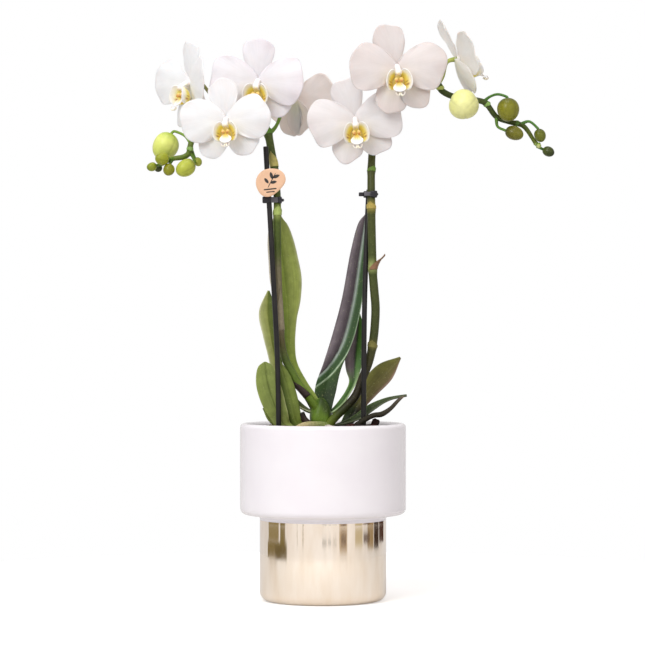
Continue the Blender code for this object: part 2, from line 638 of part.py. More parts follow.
def flower(name, spec):
    """One open flower: three sepals behind, two petals, and the lip in front, on one empty."""
    size = spec["size"]
    petal_lean, dorsal_lean, lateral_lean = spec["lean"]
    reaches = SEPAL_LENGTH, SEPAL_LENGTH * spec["lateral_share"], SEPAL_LENGTH * spec["lateral_share"]
    sepal_lobes = [
        (radians(axis), reach, SEPAL_HALF_WIDTH) for axis, reach in zip(spec["sepals"], reaches)
    ]
    petal_lobes = [(radians(axis), PETAL_LENGTH, None) for axis in PETAL_DIRECTIONS]
    centre = bpy.data.objects.new(name + "_centre", None)
    part_collection.objects.link(centre)
    centre.location = Vector(spec["centre"]) * MM
    centre.rotation_euler = [radians(angle) for angle in spec["turn"]]
    leans = dorsal_lean, lateral_lean, lateral_lean
    pieces = [
        lobed_disc(name + "_sepals", sepal_lobes, leans, SEPAL_SET_BACK, size),
        lobed_disc(name + "_petals", petal_lobes, (petal_lean, petal_lean), 0.0, size),
        lip(name + "_lip", size),
    ]
    for piece in pieces:
        piece.parent = centre


def flower_stalk_end(spec):
    """Where a pedicel meets the flower's back, and a point straight behind it, in mm."""
    turn = Euler([radians(angle) for angle in spec["turn"]]).to_matrix()
    centre = Vector(spec["centre"])
    return [centre + turn @ Vector((0.0, STALK_JOINT + back, 0.0)) for back in (PEDICEL_STRAIGHT, 0.0)]


def bud_stalk_end(spec):
    """The last stretch of a bud's stalk, square to the bud and one gap off it, in mm."""
    side = Vector(spec["stalk_side"]).normalized()
    foot = Vector(spec["centre"]) + side * (spec["size"][1] / 2 + GAP)
    return [foot + side * BUD_STALK_RADIUS, foot]


def bud(name, spec):
    """One closed bud."""
    width, length = spec["size"]
    ellipsoid(name, spec["centre"], (width / 2, width / 2, length / 2), "bud_green",
              axis=spec["stalk_side"])


def spike(name, path):
    """One flower spike with the pedicels and bud stalks that grow from it, as one piece."""
    body = tube(name, path, SPIKE_RADIUS, "stem_green", taper=0.42, spacing=12.0)
    branches = []
    for flower_name, spec in FLOWERS.items():
        if spec["spike"] == name:
            way = spec["pedicel"] + flower_stalk_end(spec)
            branches.append(tube(flower_name + "_pedicel", way, PEDICEL_RADIUS, cutter=True, spacing=8.0))
    for bud_name, spec in BUDS.items():
        if spec["spike"] == name:
            way = spec["stalk"] + bud_stalk_end(spec)
            branches.append(tube(bud_name + "_stalk", way, BUD_STALK_RADIUS, cutter=True, spacing=4.0))
    for branch in branches:
        boolean(body, branch, "UNION")
        applied(body)
        bpy.data.objects.remove(branch, do_unlink=True)
    return trim_to_crown(body)


def root(name, path):
    """An aerial root lying over the bark."""
    return trim_to_crown(tube(name, path, ROOT_RADII[name], "root_skin", taper=0.8, spacing=5.0))


def clip(name, low, high, rods, tab=None):
    """A moulded clip: a block round the stake and the spike, with an optional finger tab."""
    body = box(name, low, high, "clip_plastic", rounding=0.8)
    if tab:
        wing = box(name + "_tab", *tab, cutter=True, rounding=0.3)
        boolean(body, wing, "UNION")
        applied(body)
        bpy.data.objects.remove(wing, do_unlink=True)
    for rod_name, path, radius in rods:
        bore = tube(f"{name}_{rod_name}_bore", path, radius + GAP, cutter=True)
        boolean(body, bore, "DIFFERENCE")
    return applied(body)


def plant_tag():
    """A flat pick-shaped card: three rounded corners, drawn as a closed curve and extruded."""
    width, height = TAG_SIZE
    outline = [
        (0.10, 0.50), (0.36, 0.42), (0.50, 0.17), (0.42, -0.10), (0.16, -0.36), (-0.10, -0.48),
        (-0.32, -0.42), (-0.46, -0.20), (-0.50, 0.06), (-0.38, 0.32), (-0.16, 0.46),
    ]
    curve = bpy.data.curves.new("plant_tag", "CURVE")
    curve.dimensions = "2D"
    curve.fill_mode = "BOTH"
    curve.extrude = TAG_THICKNESS / 2 * MM
    spline = curve.splines.new("POLY")
    spline.points.add(len(outline) - 1)
    for point, (across, up) in zip(spline.points, outline):
        point.co = (across * width * MM, up * height * MM, 0.0, 1.0)
    spline.use_cyclic_u = True
    source = bpy.data.objects.new("plant_tag_curve", curve)
    part_collection.objects.link(source)
    source.location = Vector(TAG_CENTRE) * MM
    source.rotation_euler = (pi / 2, 0.0, 0.0)
    bpy.context.view_layer.update()
    graph = bpy.context.evaluated_depsgraph_get()
    mesh = bpy.data.meshes.new_from_object(source.evaluated_get(graph))
    bm = bmesh.new()
    bm.from_mesh(mesh)
    bmesh.ops.remove_doubles(bm, verts=bm.verts, dist=0.00001)
    bm.transform(source.matrix_world)
    bpy.data.objects.remove(source, do_unlink=True)
    return bm_object("plant_tag", bm, "tag_card", smooth=False)


def tag_holder():
    """A small snap clip: it grips the stake from the front and carries the tag."""
    back_of_tag = TAG_CENTRE[1] + TAG_THICKNESS / 2 + GAP
    body = box("tag_holder", (-41.8, back_of_tag, 289.0), (-35.0, -8.8, 294.0), "clip_plastic",
               rounding=0.5)
    path = STAKE_PATHS["stake_left"][-3:]
    boolean(body, tube("tag_holder_bore", path, STAKE_RADIUS + GAP, cutter=True), "DIFFERENCE")
    return applied(body)


def build():
    """Make every piece."""
    planter()
    nursery_pot()
    bark_bed()
    crown()
    for name, path in STAKE_PATHS.items():
        tube(name, path, STAKE_RADIUS, "stake_plastic", spacing=25.0)
    for name, path in SPIKE_PATHS.items():
        spike(name, path)
    for name, path in ROOT_PATHS.items():
        root(name, path)
    for name, spec in LEAVES.items():
        leaf(name, spec)
    for name, spec in FLOWERS.items():
        flower(name, spec)
    for name, spec in BUDS.items():
        bud(name, spec)
    clip("clip_left", (-42.4, -13.2, 277.4), (-27.9, -3.8, 277.4 + CLIP_HEIGHT), [
        ("stake", STAKE_PATHS["stake_left"][-4:-1], STAKE_RADIUS),
        ("spike", SPIKE_PATHS["spike_left"][10:14], SPIKE_RADIUS),
    ])
    clip("clip_right", (28.2, -13.6, 281.4), (38.0, -0.2, 281.4 + CLIP_HEIGHT), [
        ("stake", STAKE_PATHS["stake_right"][-2:], STAKE_RADIUS),
        ("spike", SPIKE_PATHS["spike_right"][11:15], SPIKE_RADIUS),
    ], tab=((24.8, -8.5, 282.4), (28.8, -5.0, 285.4)))
    plant_tag()
    tag_holder()


clear_scene()
part_collection = new_collection(COLLECTION)
cutter_collection = new_collection(CUTTERS)
materials = {name: make_material(name) for name in MATERIALS}
crown_cutter = ellipsoid("crown_cutter", CROWN_CENTRE, grown(CROWN_RADII), cutter=True,
                         fineness=(14, 10))
build()
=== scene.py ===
"""Potted moth orchid: the looks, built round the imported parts.

Lengths are in millimetres until a mesh is made. -Y is the front and +Z is up. Every new surface is
a grid of points worked out with numpy: a shape of two parameters, or a profile along a path.
"""

import bmesh
import bpy
import numpy as np
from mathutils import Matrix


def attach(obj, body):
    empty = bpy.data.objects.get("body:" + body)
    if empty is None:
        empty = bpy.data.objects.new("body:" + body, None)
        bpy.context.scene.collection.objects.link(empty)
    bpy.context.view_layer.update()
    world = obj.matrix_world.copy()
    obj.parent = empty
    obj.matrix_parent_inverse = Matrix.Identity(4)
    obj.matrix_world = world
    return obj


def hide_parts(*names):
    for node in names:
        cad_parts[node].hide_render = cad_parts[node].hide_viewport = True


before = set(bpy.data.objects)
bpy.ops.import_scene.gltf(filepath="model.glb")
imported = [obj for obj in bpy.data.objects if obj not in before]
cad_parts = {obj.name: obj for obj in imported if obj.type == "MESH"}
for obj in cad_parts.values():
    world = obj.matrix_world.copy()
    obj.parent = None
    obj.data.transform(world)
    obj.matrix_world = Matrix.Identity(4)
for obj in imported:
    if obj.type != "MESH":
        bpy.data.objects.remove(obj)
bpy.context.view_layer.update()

MM = 0.001
TURN = 2 * np.pi


# Colour and node helpers ------------------------------------------------------------------------

def linear(colour):
    """sRGB hex to linear RGBA: straight below 0.04045, and a 2.4 power above it."""
    value = np.array([int(colour[at:at + 2], 16) for at in (1, 3, 5)]) / 255
    value = np.where(value <= 0.04045, value / 12.92, ((value + 0.055) / 1.055) ** 2.4)
    return (*value.tolist(), 1.0)


def blend(stops, share):
    """Linear colours read from (place, hex) stops at an array of shares: straight lines between stops."""
    places = [place for place, _ in stops]
    colours = np.array([tint(colour) for _, colour in stops])
    return np.stack([np.interp(share, places, colours[:, band]) for band in range(3)], axis=-1)


def mix(first, second, share):
    """Two colour arrays mixed by an array of shares, where 0 is the first."""
    share = np.clip(share, 0.0, 1.0)[..., None]
    return first * (1 - share) + second * share


def tint(colour):
    """sRGB hex to a linear RGB array."""
    return np.array(linear(colour)[:3])


def per_mm(size):
    """The scale at which a noise pattern's features are about this many mm across."""
    return 1.0 / (size * MM)


def feed(target, inputs):
    """Give a node its inputs, by name or in order: a value stays on the socket, an output is linked."""
    for key, value in inputs.items() if isinstance(inputs, dict) else enumerate(inputs):
        socket = target.inputs[key] if isinstance(key, int) else next(
            one for one in target.inputs if one.name == key and one.enabled)
        if isinstance(value, bpy.types.NodeSocket):
            target.id_data.links.new(value, socket)
        else:
            socket.default_value = value


def node(tree, kind, inputs=(), out=None, **settings):
    """Add one node with its settings and inputs. Gives the named output, or the first one in use."""
    made = tree.nodes.new("ShaderNode" + kind)
    for key, value in settings.items():
        setattr(made, key, value)
    feed(made, inputs)
    return made.outputs[out] if out else next(one for one in made.outputs if one.enabled)


def shader_of(name):
    """A new material, its node tree and its Principled shader."""
    material = bpy.data.materials.new(name)
    material.use_nodes = True
    return material, material.node_tree, material.node_tree.nodes["Principled BSDF"]


# Surfaces ---------------------------------------------------------------------------------------

def surface(points, tone, loop_columns=False, finish=0):
    """A grid of points (rows, columns, 3) as quads, with UV = (column share, row share) and a colour
    for each point. Looped columns wrap round, so that their seam is closed."""
    rows, columns = points.shape[:2]
    row = np.arange(rows - 1)
    column = np.arange(columns if loop_columns else columns - 1)
    row, column = (part.reshape(-1, 1) for part in np.meshgrid(row, column, indexing="ij"))
    corner_row = row + np.array([[0, 0, 1, 1]])
    corner_column = column + np.array([[0, 1, 1, 0]])
    faces = corner_row * columns + corner_column % columns
    uv = np.stack([
        corner_column / (columns if loop_columns else columns - 1),
        corner_row / (rows - 1),
    ], axis=-1)
    tone = np.broadcast_to(tone, points.shape)
    return {
        "points": points.reshape(-1, 3), "faces": faces, "uv": uv.reshape(-1, 2),
        "tone": tone.reshape(-1, 3), "finish": finish,
    }


def outward(part):
    """The same surface with its quads turned round if they enclose a negative volume."""
    corners = part["points"][part["faces"]]
    first, second, third = (corners[:, place] - corners[:, 0] for place in (1, 2, 3))
    volume = np.sum(corners[:, 0] * (np.cross(first, second) + np.cross(second, third)))
    if volume >= 0:
        return part
    uv = part["uv"].reshape(-1, 4, 2)[:, ::-1].reshape(-1, 2)
    return {**part, "faces": part["faces"][:, ::-1], "uv": uv}


def piece(name, parts, materials, slot, nodes, thickness=0.0):
    """One object from surfaces in mm: joined, poles and seams merged, riding on the root body and
    standing for CAD nodes. Closed surfaces are turned outwards, and a thickness gives open sheets a wall."""
    if not thickness:
        parts = [outward(part) for part in parts]
    starts = np.cumsum([0] + [len(part["points"]) for part in parts[:-1]])
    points = np.concatenate([part["points"] for part in parts]) * MM
    faces = np.concatenate([part["faces"] + start for part, start in zip(parts, starts)])
    finish = np.concatenate([np.full(len(part["faces"]), part["finish"]) for part in parts])
    tone = np.concatenate([part["tone"] for part in parts])
    uv = np.concatenate([part["uv"] for part in parts])
    mesh = bpy.data.meshes.new(name)
    mesh.from_pydata(points.tolist(), [], faces.tolist())
    mesh.uv_layers.new(name="UVMap").data.foreach_set("uv", uv.ravel())
    colours = mesh.color_attributes.new("tone", "FLOAT_COLOR", "POINT")
    colours.data.foreach_set("color", np.column_stack([tone, np.ones(len(tone))]).ravel())
    mesh.polygons.foreach_set("material_index", finish)
    mesh.polygons.foreach_set("use_smooth", np.ones(len(faces), bool))
    joined = bmesh.new()
    joined.from_mesh(mesh)
    bmesh.ops.remove_doubles(joined, verts=joined.verts, dist=0.000002)
    joined.to_mesh(mesh)
    joined.free()
    for material in materials:
        mesh.materials.append(material)
    made = bpy.data.objects.new(name, mesh)
    bpy.context.scene.collection.objects.link(made)
    if thickness:
        wall = made.modifiers.new("wall", "SOLIDIFY")
        wall.thickness = thickness * MM
        wall.offset = 0.0
    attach(made, "root")
    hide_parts(*nodes)
    return made


def curve(knots, count):
    """Count values on the Catmull-Rom curve through knots of any width, an equal number per knot."""
    knots = np.asarray(knots, float)
    flat = knots.ndim == 1
    knots = knots[:, None] if flat else knots
    padded = np.vstack([2 * knots[0] - knots[1], knots, 2 * knots[-1] - knots[-2]])
    place = np.linspace(0, len(knots) - 1, count)
    index = np.minimum(place.astype(int), len(knots) - 2)
    t = (place - index)[:, None]
    a, b, c, d = (padded[index + step] for step in range(4))
    value = (2 * b + (c - a) * t + (2 * a - 5 * b + 4 * c - d) * t**2 + (3 * b - a - 3 * c + d) * t**3) / 2
    return value[:, 0] if flat else value


def unit(vectors):
    """Each vector divided by its length."""
    return vectors / np.maximum(np.linalg.norm(vectors, axis=-1, keepdims=True), 1e-9)


def rod(knots, radii, tone, count, sides):
    """A closed round rod: circles of the given radii carried along a path, each end drawn to a point
    in its middle. Tone is one hex colour, or (share of the knots, hex) stops."""
    path = curve(knots, count)
    radius = np.maximum(curve(radii, count), 0.05)
    tangent = unit(np.gradient(path, axis=0))
    least = np.linalg.svd(tangent)[2][-1]
    side = unit(np.cross(tangent, least))
    up = np.cross(side, tangent)
    angle = np.linspace(0, TURN, sides, endpoint=False)[None, :, None]
    ring = np.cos(angle) * side[:, None] + np.sin(angle) * up[:, None]
    points = path[:, None] + radius[:, None, None] * ring
    first = np.repeat(path[None, :1], sides, axis=1)
    last = np.repeat(path[None, -1:], sides, axis=1)
    points = np.concatenate([first, points, last])
    share = np.concatenate([[0.0], np.linspace(0, 1, count), [1.0]])
    stops = [(0.0, tone), (1.0, tone)] if isinstance(tone, str) else tone
    return surface(points, blend(stops, share)[:, None], loop_columns=True)


def lathe(profile, tone, turns):
    """A body of revolution: (radius, height) points carried round the Z axis."""
    radius, height = np.asarray(profile, float).T
    angle = np.linspace(0, TURN, turns, endpoint=False)[None]
    points = np.stack([
        radius[:, None] * np.cos(angle), radius[:, None] * np.sin(angle),
        np.broadcast_to(height[:, None], (len(height), turns)),
    ], axis=-1)
    return surface(points, tint(tone), loop_columns=True)


def corner(centre, radius, start, stop, count=8):
    """Points of a round corner of a profile: angles in degrees, 0 is outwards and 90 is up."""
    angle = np.radians(np.linspace(start, stop, count))
    return np.column_stack([centre[0] + radius * np.cos(angle), centre[1] + radius * np.sin(angle)])


def turn_matrix(pitch, roll, yaw):
    """Turns in degrees about X, then Y, then Z, as one matrix for row vectors."""
    x, y, z = np.radians([pitch, roll, yaw])
    about_x = np.array([[1, 0, 0], [0, np.cos(x), -np.sin(x)], [0, np.sin(x), np.cos(x)]])
    about_y = np.array([[np.cos(y), 0, np.sin(y)], [0, 1, 0], [-np.sin(y), 0, np.cos(y)]])
    about_z = np.array([[np.cos(z), -np.sin(z), 0], [np.sin(z), np.cos(z), 0], [0, 0, 1]])
    return (about_z @ about_y @ about_x).T


# Materials --------------------------------------------------------------------------------------

def grown(name, roughness, blotch_mm, blotch, grain_mm, relief_mm, subsurface=0.0, glow=(1.0, 1.0, 1.0),
          coat=0.0, streaks=None, streak_depth=0.0, freckle=None):
    """Living tissue: the piece's own tone, clouded at one real size and pitted at a finer one, streaked
    along the piece where it has streaks, and freckled 1.1 mm apart, coarser than life so that it shows."""
    material, tree, shader = shader_of(name)
    place = node(tree, "TexCoord", out="Object")
    cloud = node(tree, "TexNoise", {"Vector": place, "Scale": per_mm(blotch_mm), "Detail": 3.0})
    light = node(tree, "MapRange", [cloud, 0.3, 0.7, 1 - blotch, 1 + blotch])
    height = node(tree, "TexNoise", {"Vector": place, "Scale": per_mm(grain_mm)})
    if streaks:
        along = node(tree, "Mapping", {"Vector": node(tree, "TexCoord", out="UV"), "Scale": (*streaks, 1.0)})
        line = node(tree, "TexNoise", {"Vector": along, "Scale": 1.0})
        lines = node(tree, "MapRange", [line, 0.3, 0.7, 1 - streak_depth, 1 + streak_depth])
        light = node(tree, "Math", [light, lines], operation="MULTIPLY")
        height = node(tree, "Math", [height, line], operation="ADD")
    tone = node(tree, "Attribute", attribute_name="tone")
    tone = node(tree, "HueSaturation", {"Color": tone, "Value": light})
    if freckle:
        spots = node(tree, "TexNoise", {"Vector": place, "Scale": per_mm(1.1), "Detail": 1.0})
        spots = node(tree, "MapRange", [spots, 0.66, 0.74, 0.0, 0.22])
        tone = node(tree, "Mix", {"Factor": spots, "A": tone, "B": linear(freckle)}, data_type="RGBA")
    feed(shader, {
        "Base Color": tone,
        "Normal": node(tree, "Bump", {"Height": height, "Strength": 0.6, "Distance": relief_mm * MM}),
        "Roughness": node(tree, "MapRange", [cloud, 0.3, 0.7, roughness - 0.06, roughness + 0.06]),
        "Specular IOR Level": 0.22, "Subsurface Weight": subsurface, "Subsurface Radius": glow,
        "Subsurface Scale": 0.002, "Coat Weight": coat, "Coat Roughness": 0.25,
    })
    return material


def glaze_material():
    """White stoneware glaze, poured and fired: a thick even gloss with a faint cool cast, whose
    surface swells a few hundredths of a millimetre, so reflections bend softly."""
    material, tree, shader = shader_of("white_stoneware_glaze")
    place = node(tree, "TexCoord", out="Object")
    cloud = node(tree, "TexNoise", {"Vector": place, "Scale": per_mm(26.0)})
    swell = node(tree, "TexNoise", {"Vector": place, "Scale": per_mm(14.0)})
    feed(shader, {
        "Base Color": node(tree, "Mix", {
            "Factor": node(tree, "MapRange", [cloud, 0.3, 0.7]),
            "A": linear("#F3F0F6"), "B": linear("#F6F4F9"),
        }, data_type="RGBA"),
        "Normal": node(tree, "Bump", {"Height": swell, "Strength": 0.3, "Distance": 0.12 * MM}),
        "Roughness": 0.16, "IOR": 1.5, "Coat Weight": 0.35, "Coat Roughness": 0.06,
    })
    return material


def lustre_material():
    """Gold lustre fired over the glaze: a pale champagne metal skin, mirror bright, that waves with
    the clay and wears a little darker and thinner in upright brush marks."""
    material, tree, shader = shader_of("gold_lustre")
    place = node(tree, "TexCoord", out="Object")
    upright = node(tree, "Mapping", {"Vector": place, "Scale": (1.0, 1.0, 0.22)})
    brush = node(tree, "TexNoise", {
        "Vector": upright, "Scale": per_mm(9.0), "Detail": 4.0, "Roughness": 0.55,
    })
    wave = node(tree, "TexNoise", {"Vector": upright, "Scale": per_mm(15.0)})
    pits = node(tree, "TexNoise", {"Vector": place, "Scale": per_mm(1.6)})
    height = node(tree, "Math", [pits, 0.02, wave], operation="MULTIPLY_ADD")
    feed(shader, {
        "Base Color": node(tree, "Mix", {
            "Factor": node(tree, "MapRange", [brush, 0.25, 0.75]),
            "A": linear("#EFE0CC"), "B": linear("#FAF1E5"),
        }, data_type="RGBA"),
        "Normal": node(tree, "Bump", {"Height": height, "Strength": 0.5, "Distance": 0.10 * MM}),
        "Roughness": node(tree, "MapRange", [brush, 0.3, 0.7, 0.10, 0.05]), "Metallic": 1.0,
    })
    return material


def moulded(name, colour, dark, roughness, grain_mm):
    """Injection-moulded plastic: one colour, hazed slightly by handling, with a fine moulded grain."""
    material, tree, shader = shader_of(name)
    place = node(tree, "TexCoord", out="Object")
    haze = node(tree, "TexNoise", {"Vector": place, "Scale": per_mm(9.0), "Detail": 4.0})
    grain = node(tree, "TexNoise", {"Vector": place, "Scale": per_mm(grain_mm), "Detail": 3.0})
    feed(shader, {
        "Base Color": node(tree, "Mix", {
            "Factor": node(tree, "MapRange", [haze, 0.35, 0.7]), "A": linear(dark), "B": linear(colour),
        }, data_type="RGBA"),
        "Normal": node(tree, "Bump", {"Height": grain, "Strength": 0.4, "Distance": 0.05 * MM}),
        "Roughness": node(tree, "MapRange", [haze, 0.3, 0.7, roughness - 0.05, roughness + 0.08]),
        "Specular IOR Level": 0.3,
    })
    return material


def card_material():
    """Printed card, peach ink on coated board: matt, with faint paper fibre."""
    material, tree, shader = shader_of("printed_card")
    place = node(tree, "TexCoord", out="Object")
    fibre = node(tree, "TexNoise", {"Vector": place, "Scale": per_mm(0.7), "Detail": 5.0, "Roughness": 0.7})
    feed(shader, {
        "Base Color": node(tree, "HueSaturation", {
            "Color": node(tree, "Attribute", attribute_name="tone"),
            "Value": node(tree, "MapRange", [fibre, 0.3, 0.7, 0.95, 1.05]),
        }),
        "Normal": node(tree, "Bump", {"Height": fibre, "Strength": 0.3, "Distance": 0.03 * MM}),
        "Roughness": 0.55,
    })
    return material


def petal_material():
    """Orchid tepal: thick white tissue that light sinks into, so its shadows stay pale and warm, with
    fine veins that fan out from the base and raise the skin slightly."""
    material, tree, shader = shader_of("orchid_tepal")
    place = node(tree, "TexCoord", out="Object")
    fan = node(tree, "Mapping", {"Vector": node(tree, "TexCoord", out="UV"), "Scale": (60.0, 2.4, 1.0)})
    vein = node(tree, "TexNoise", {"Vector": fan, "Scale": 1.0, "Detail": 3.0, "Distortion": 0.3})
    cloud = node(tree, "TexNoise", {"Vector": place, "Scale": per_mm(7.0)})
    skin = node(tree, "TexNoise", {"Vector": place, "Scale": per_mm(0.5), "Detail": 1.0})
    height = node(tree, "Math", [skin, 0.12, vein], operation="MULTIPLY_ADD")
    light = node(tree, "Math", [
        node(tree, "MapRange", [vein, 0.35, 0.65, 0.935, 0.965]),
        node(tree, "MapRange", [cloud, 0.3, 0.7, 0.975, 1.015]),
    ], operation="MULTIPLY")
    feed(shader, {
        "Base Color": node(tree, "HueSaturation", {
            "Color": node(tree, "Attribute", attribute_name="tone"), "Value": light,
        }),
        "Normal": node(tree, "Bump", {"Height": height, "Strength": 0.4, "Distance": 0.14 * MM}),
        "Roughness": 0.52, "Subsurface Weight": 0.55, "Subsurface Radius": (1.0, 0.72, 0.62),
        "Subsurface Scale": 0.0035, "Sheen Weight": 0.12, "Sheen Roughness": 0.4,
    })
    return material


glaze = glaze_material()
lustre = lustre_material()
petal = petal_material()
# Lip tissue is waxier than the tepals: tighter gloss, the same soft depth.
lip_skin = grown("orchid_lip", 0.36, 1.6, 0.04, 0.4, 0.06, 0.45, (1.0, 0.85, 0.6), coat=0.15)
# Leaf skin is leathery and waxed: low gloss, fine streaks along the blade and a pebbled grain.
leaf_skin = grown("waxy_leaf", 0.44, 5.0, 0.13, 0.55, 0.12, 0.04, (0.8, 1.0, 0.4),
                  streaks=(55.0, 5.0), streak_depth=0.10, freckle="#C4CC90")
# Spikes are firm green stems with a thin bloom of wax and corky freckles.
stem_skin = grown("flower_spike_skin", 0.44, 1.8, 0.16, 0.45, 0.09, 0.03, (0.8, 1.0, 0.4), freckle="#8C8A5C")
# Buds are smooth and waxy, tight over soft tissue.
bud_skin = grown("bud_skin", 0.34, 3.2, 0.06, 0.5, 0.06, 0.15, (1.0, 1.0, 0.4), coat=0.10)
# Aerial roots wear velamen, a dull silvery sponge over green.
root_skin = grown("root_velamen", 0.7, 1.4, 0.28, 0.5, 0.20, 0.1, (0.8, 1.0, 0.5))
# Fir bark chips: dry, fibrous and split, each a slightly different brown.
bark_chip = grown("fir_bark", 0.85, 1.8, 0.45, 0.6, 0.5)
# Black plastics: satin rods, glossier clips, a lighter grey copy of the clip plastic that paints a highlight
# on one face of each clip, and a dull thin pot.
stake_plastic = moulded("stake_fibreglass", "#1C1A1A", "#0F0E0E", 0.34, 0.8)
clip_plastic = moulded("clip_nylon", "#2E2D33", "#222126", 0.28, 0.5)
clip_painted_highlight = moulded("clip_nylon_lit", "#6E6C72", "#57565C", 0.30, 0.5)
pot_plastic = moulded("grower_pot_polypropylene", "#3C3A3A", "#2A2828", 0.45, 1.2)
card = card_material()


# Planter ----------------------------------------------------------------------------------------

UPPER_RADIUS = 58.0
LOWER_RADIUS = 44.2
PLANTER_HEIGHT = 124.0
STEP_HEIGHT = 60.5
RIM_ROUNDING = 2.75
SHOULDER_ROUNDING = 4.5
LUSTRE_TOP = 56.6
LUSTRE_DEPTH = 3.7
FOOT_ROUNDING = 6.5


def planter():
    """Outer profile up from the foot, over the rim and down inside to the floor: the part below the
    lustre line is gold and the rest is glaze. The neck under the upper tier curves out to it."""
    foot = corner((LOWER_RADIUS - FOOT_ROUNDING, FOOT_ROUNDING), FOOT_ROUNDING, -90, 0, 14)
    wall_height = np.linspace(FOOT_ROUNDING + 1.5, LUSTRE_TOP, 26)
    wall = np.column_stack([np.full(26, LOWER_RADIUS), wall_height])
    gold = np.vstack([[(0.0, 0.0), (20.0, 0.0)], foot, wall])
    neck = np.array([
        (LOWER_RADIUS, LUSTRE_TOP), (LOWER_RADIUS + 0.05, 57.6), (LOWER_RADIUS + 0.3, 58.7),
        (LOWER_RADIUS + 0.9, 59.7), (LOWER_RADIUS + 1.9, 60.3), (LOWER_RADIUS + 3.4, STEP_HEIGHT),
    ])
    shoulder = corner((UPPER_RADIUS - SHOULDER_ROUNDING, STEP_HEIGHT + SHOULDER_ROUNDING),
                      SHOULDER_ROUNDING, -90, 0, 14)
    rim_middle = UPPER_RADIUS - RIM_ROUNDING
    upper = np.column_stack([np.full(20, UPPER_RADIUS), np.linspace(68.0, 118.0, 20)])
    rim = corner((rim_middle, PLANTER_HEIGHT - RIM_ROUNDING), RIM_ROUNDING, 0, 180, 22)
    inside_radius = UPPER_RADIUS - 2 * RIM_ROUNDING
    inside = np.array([
        (inside_radius, 116.0), (inside_radius, 69.0), (inside_radius - 3.0, 66.0), (37.5, 66.0),
        (37.5, 62.0), (38.5, 60.0), (38.5, 10.0), (34.5, 6.0), (0.0, 6.0),
    ])
    white = np.vstack([neck, shoulder, upper, rim, inside])
    body = lathe(np.vstack([gold, white[1:]]), "#F5F3F8", 192)
    centre = body["points"][body["faces"]].mean(axis=1)
    outside = np.hypot(centre[:, 0], centre[:, 1]) > LOWER_RADIUS - LUSTRE_DEPTH
    body["finish"] = ((centre[:, 2] < LUSTRE_TOP) & outside | (centre[:, 2] < 1.0)).astype(int)
    piece("glazed_planter", [body], [glaze, lustre], "planter_glaze", ["planter"])


def nursery_pot():
    """The grower's pot: a thin tapered shell with a rolled rim, open at the top."""
    outer = [(0.0, 38.0), (32.0, 38.0), (33.0, 38.6), (44.0, 115.5), (45.0, 116.0), (45.2, 118.4)]
    rim = corner((44.6, 118.6), 0.6, 0, 180, 8)
    inner = [(43.2, 117.0), (43.0, 115.0), (32.2, 39.6), (0.0, 39.2)]
    profile = np.vstack([outer, rim, inner])
    piece("grower_pot", [lathe(profile, "#3C3A3A", 120)], [pot_plastic], "pot_plastic", ["nursery_pot"])


# Bark and roots ---------------------------------------------------------------------------------

CHIP_TONES = ("#2E1812", "#3E2016", "#4E2A1C", "#1E120F", "#5C3826", "#6A3E2A", "#281A16", "#7A4E36")
# Chips that show over the rim: centre, half sizes, turn about Z and tilt in degrees, and colour.
PLACED_CHIPS = [
    ((-22.5, -20, 120.6), (5.2, 4, 1.8), 12, 8, "#7A2B22"),
    ((7.5, -24, 120.6), (6.4, 4.6, 2.2), -8, 16, "#B9B2AA"),
    ((16.5, -18, 120.6), (5.6, 4.4, 2.4), 18, -14, "#3A1712"),
    ((24, -16, 121.4), (6, 5, 2.8), -20, 10, "#1E1310"),
    ((31, -12, 120.8), (6.4, 5, 2.6), 30, -8, "#341612"),
    ((36.2, -8, 123.6), (2.6, 3, 3.8), 10, 24, "#2B1917"),
    ((33.6, -14, 120.2), (4.2, 3.4, 2), -12, 6, "#5E2A22"),
    ((27, -25, 119.6), (6.6, 4.6, 2.2), 6, -6, "#4A1F18"),
    ((-36, -8, 121), (1.9, 2.2, 2.2), 0, 10, "#5B4540"),
    ((-14, 8, 120), (7, 5.4, 2.4), 40, 8, "#3A211A"),
    ((6, 16, 119.6), (8, 6, 2.4), -30, -8, "#4A2A1F"),
    ((-4, 26, 119.2), (7.6, 5, 2.4), 15, 9, "#5C3626"),
    ((16, 22, 119.6), (7, 5, 2.6), 70, -10, "#33241F"),
    ((-22, 20, 119.4), (7, 5.2, 2.2), -50, 7, "#6B4430"),
]


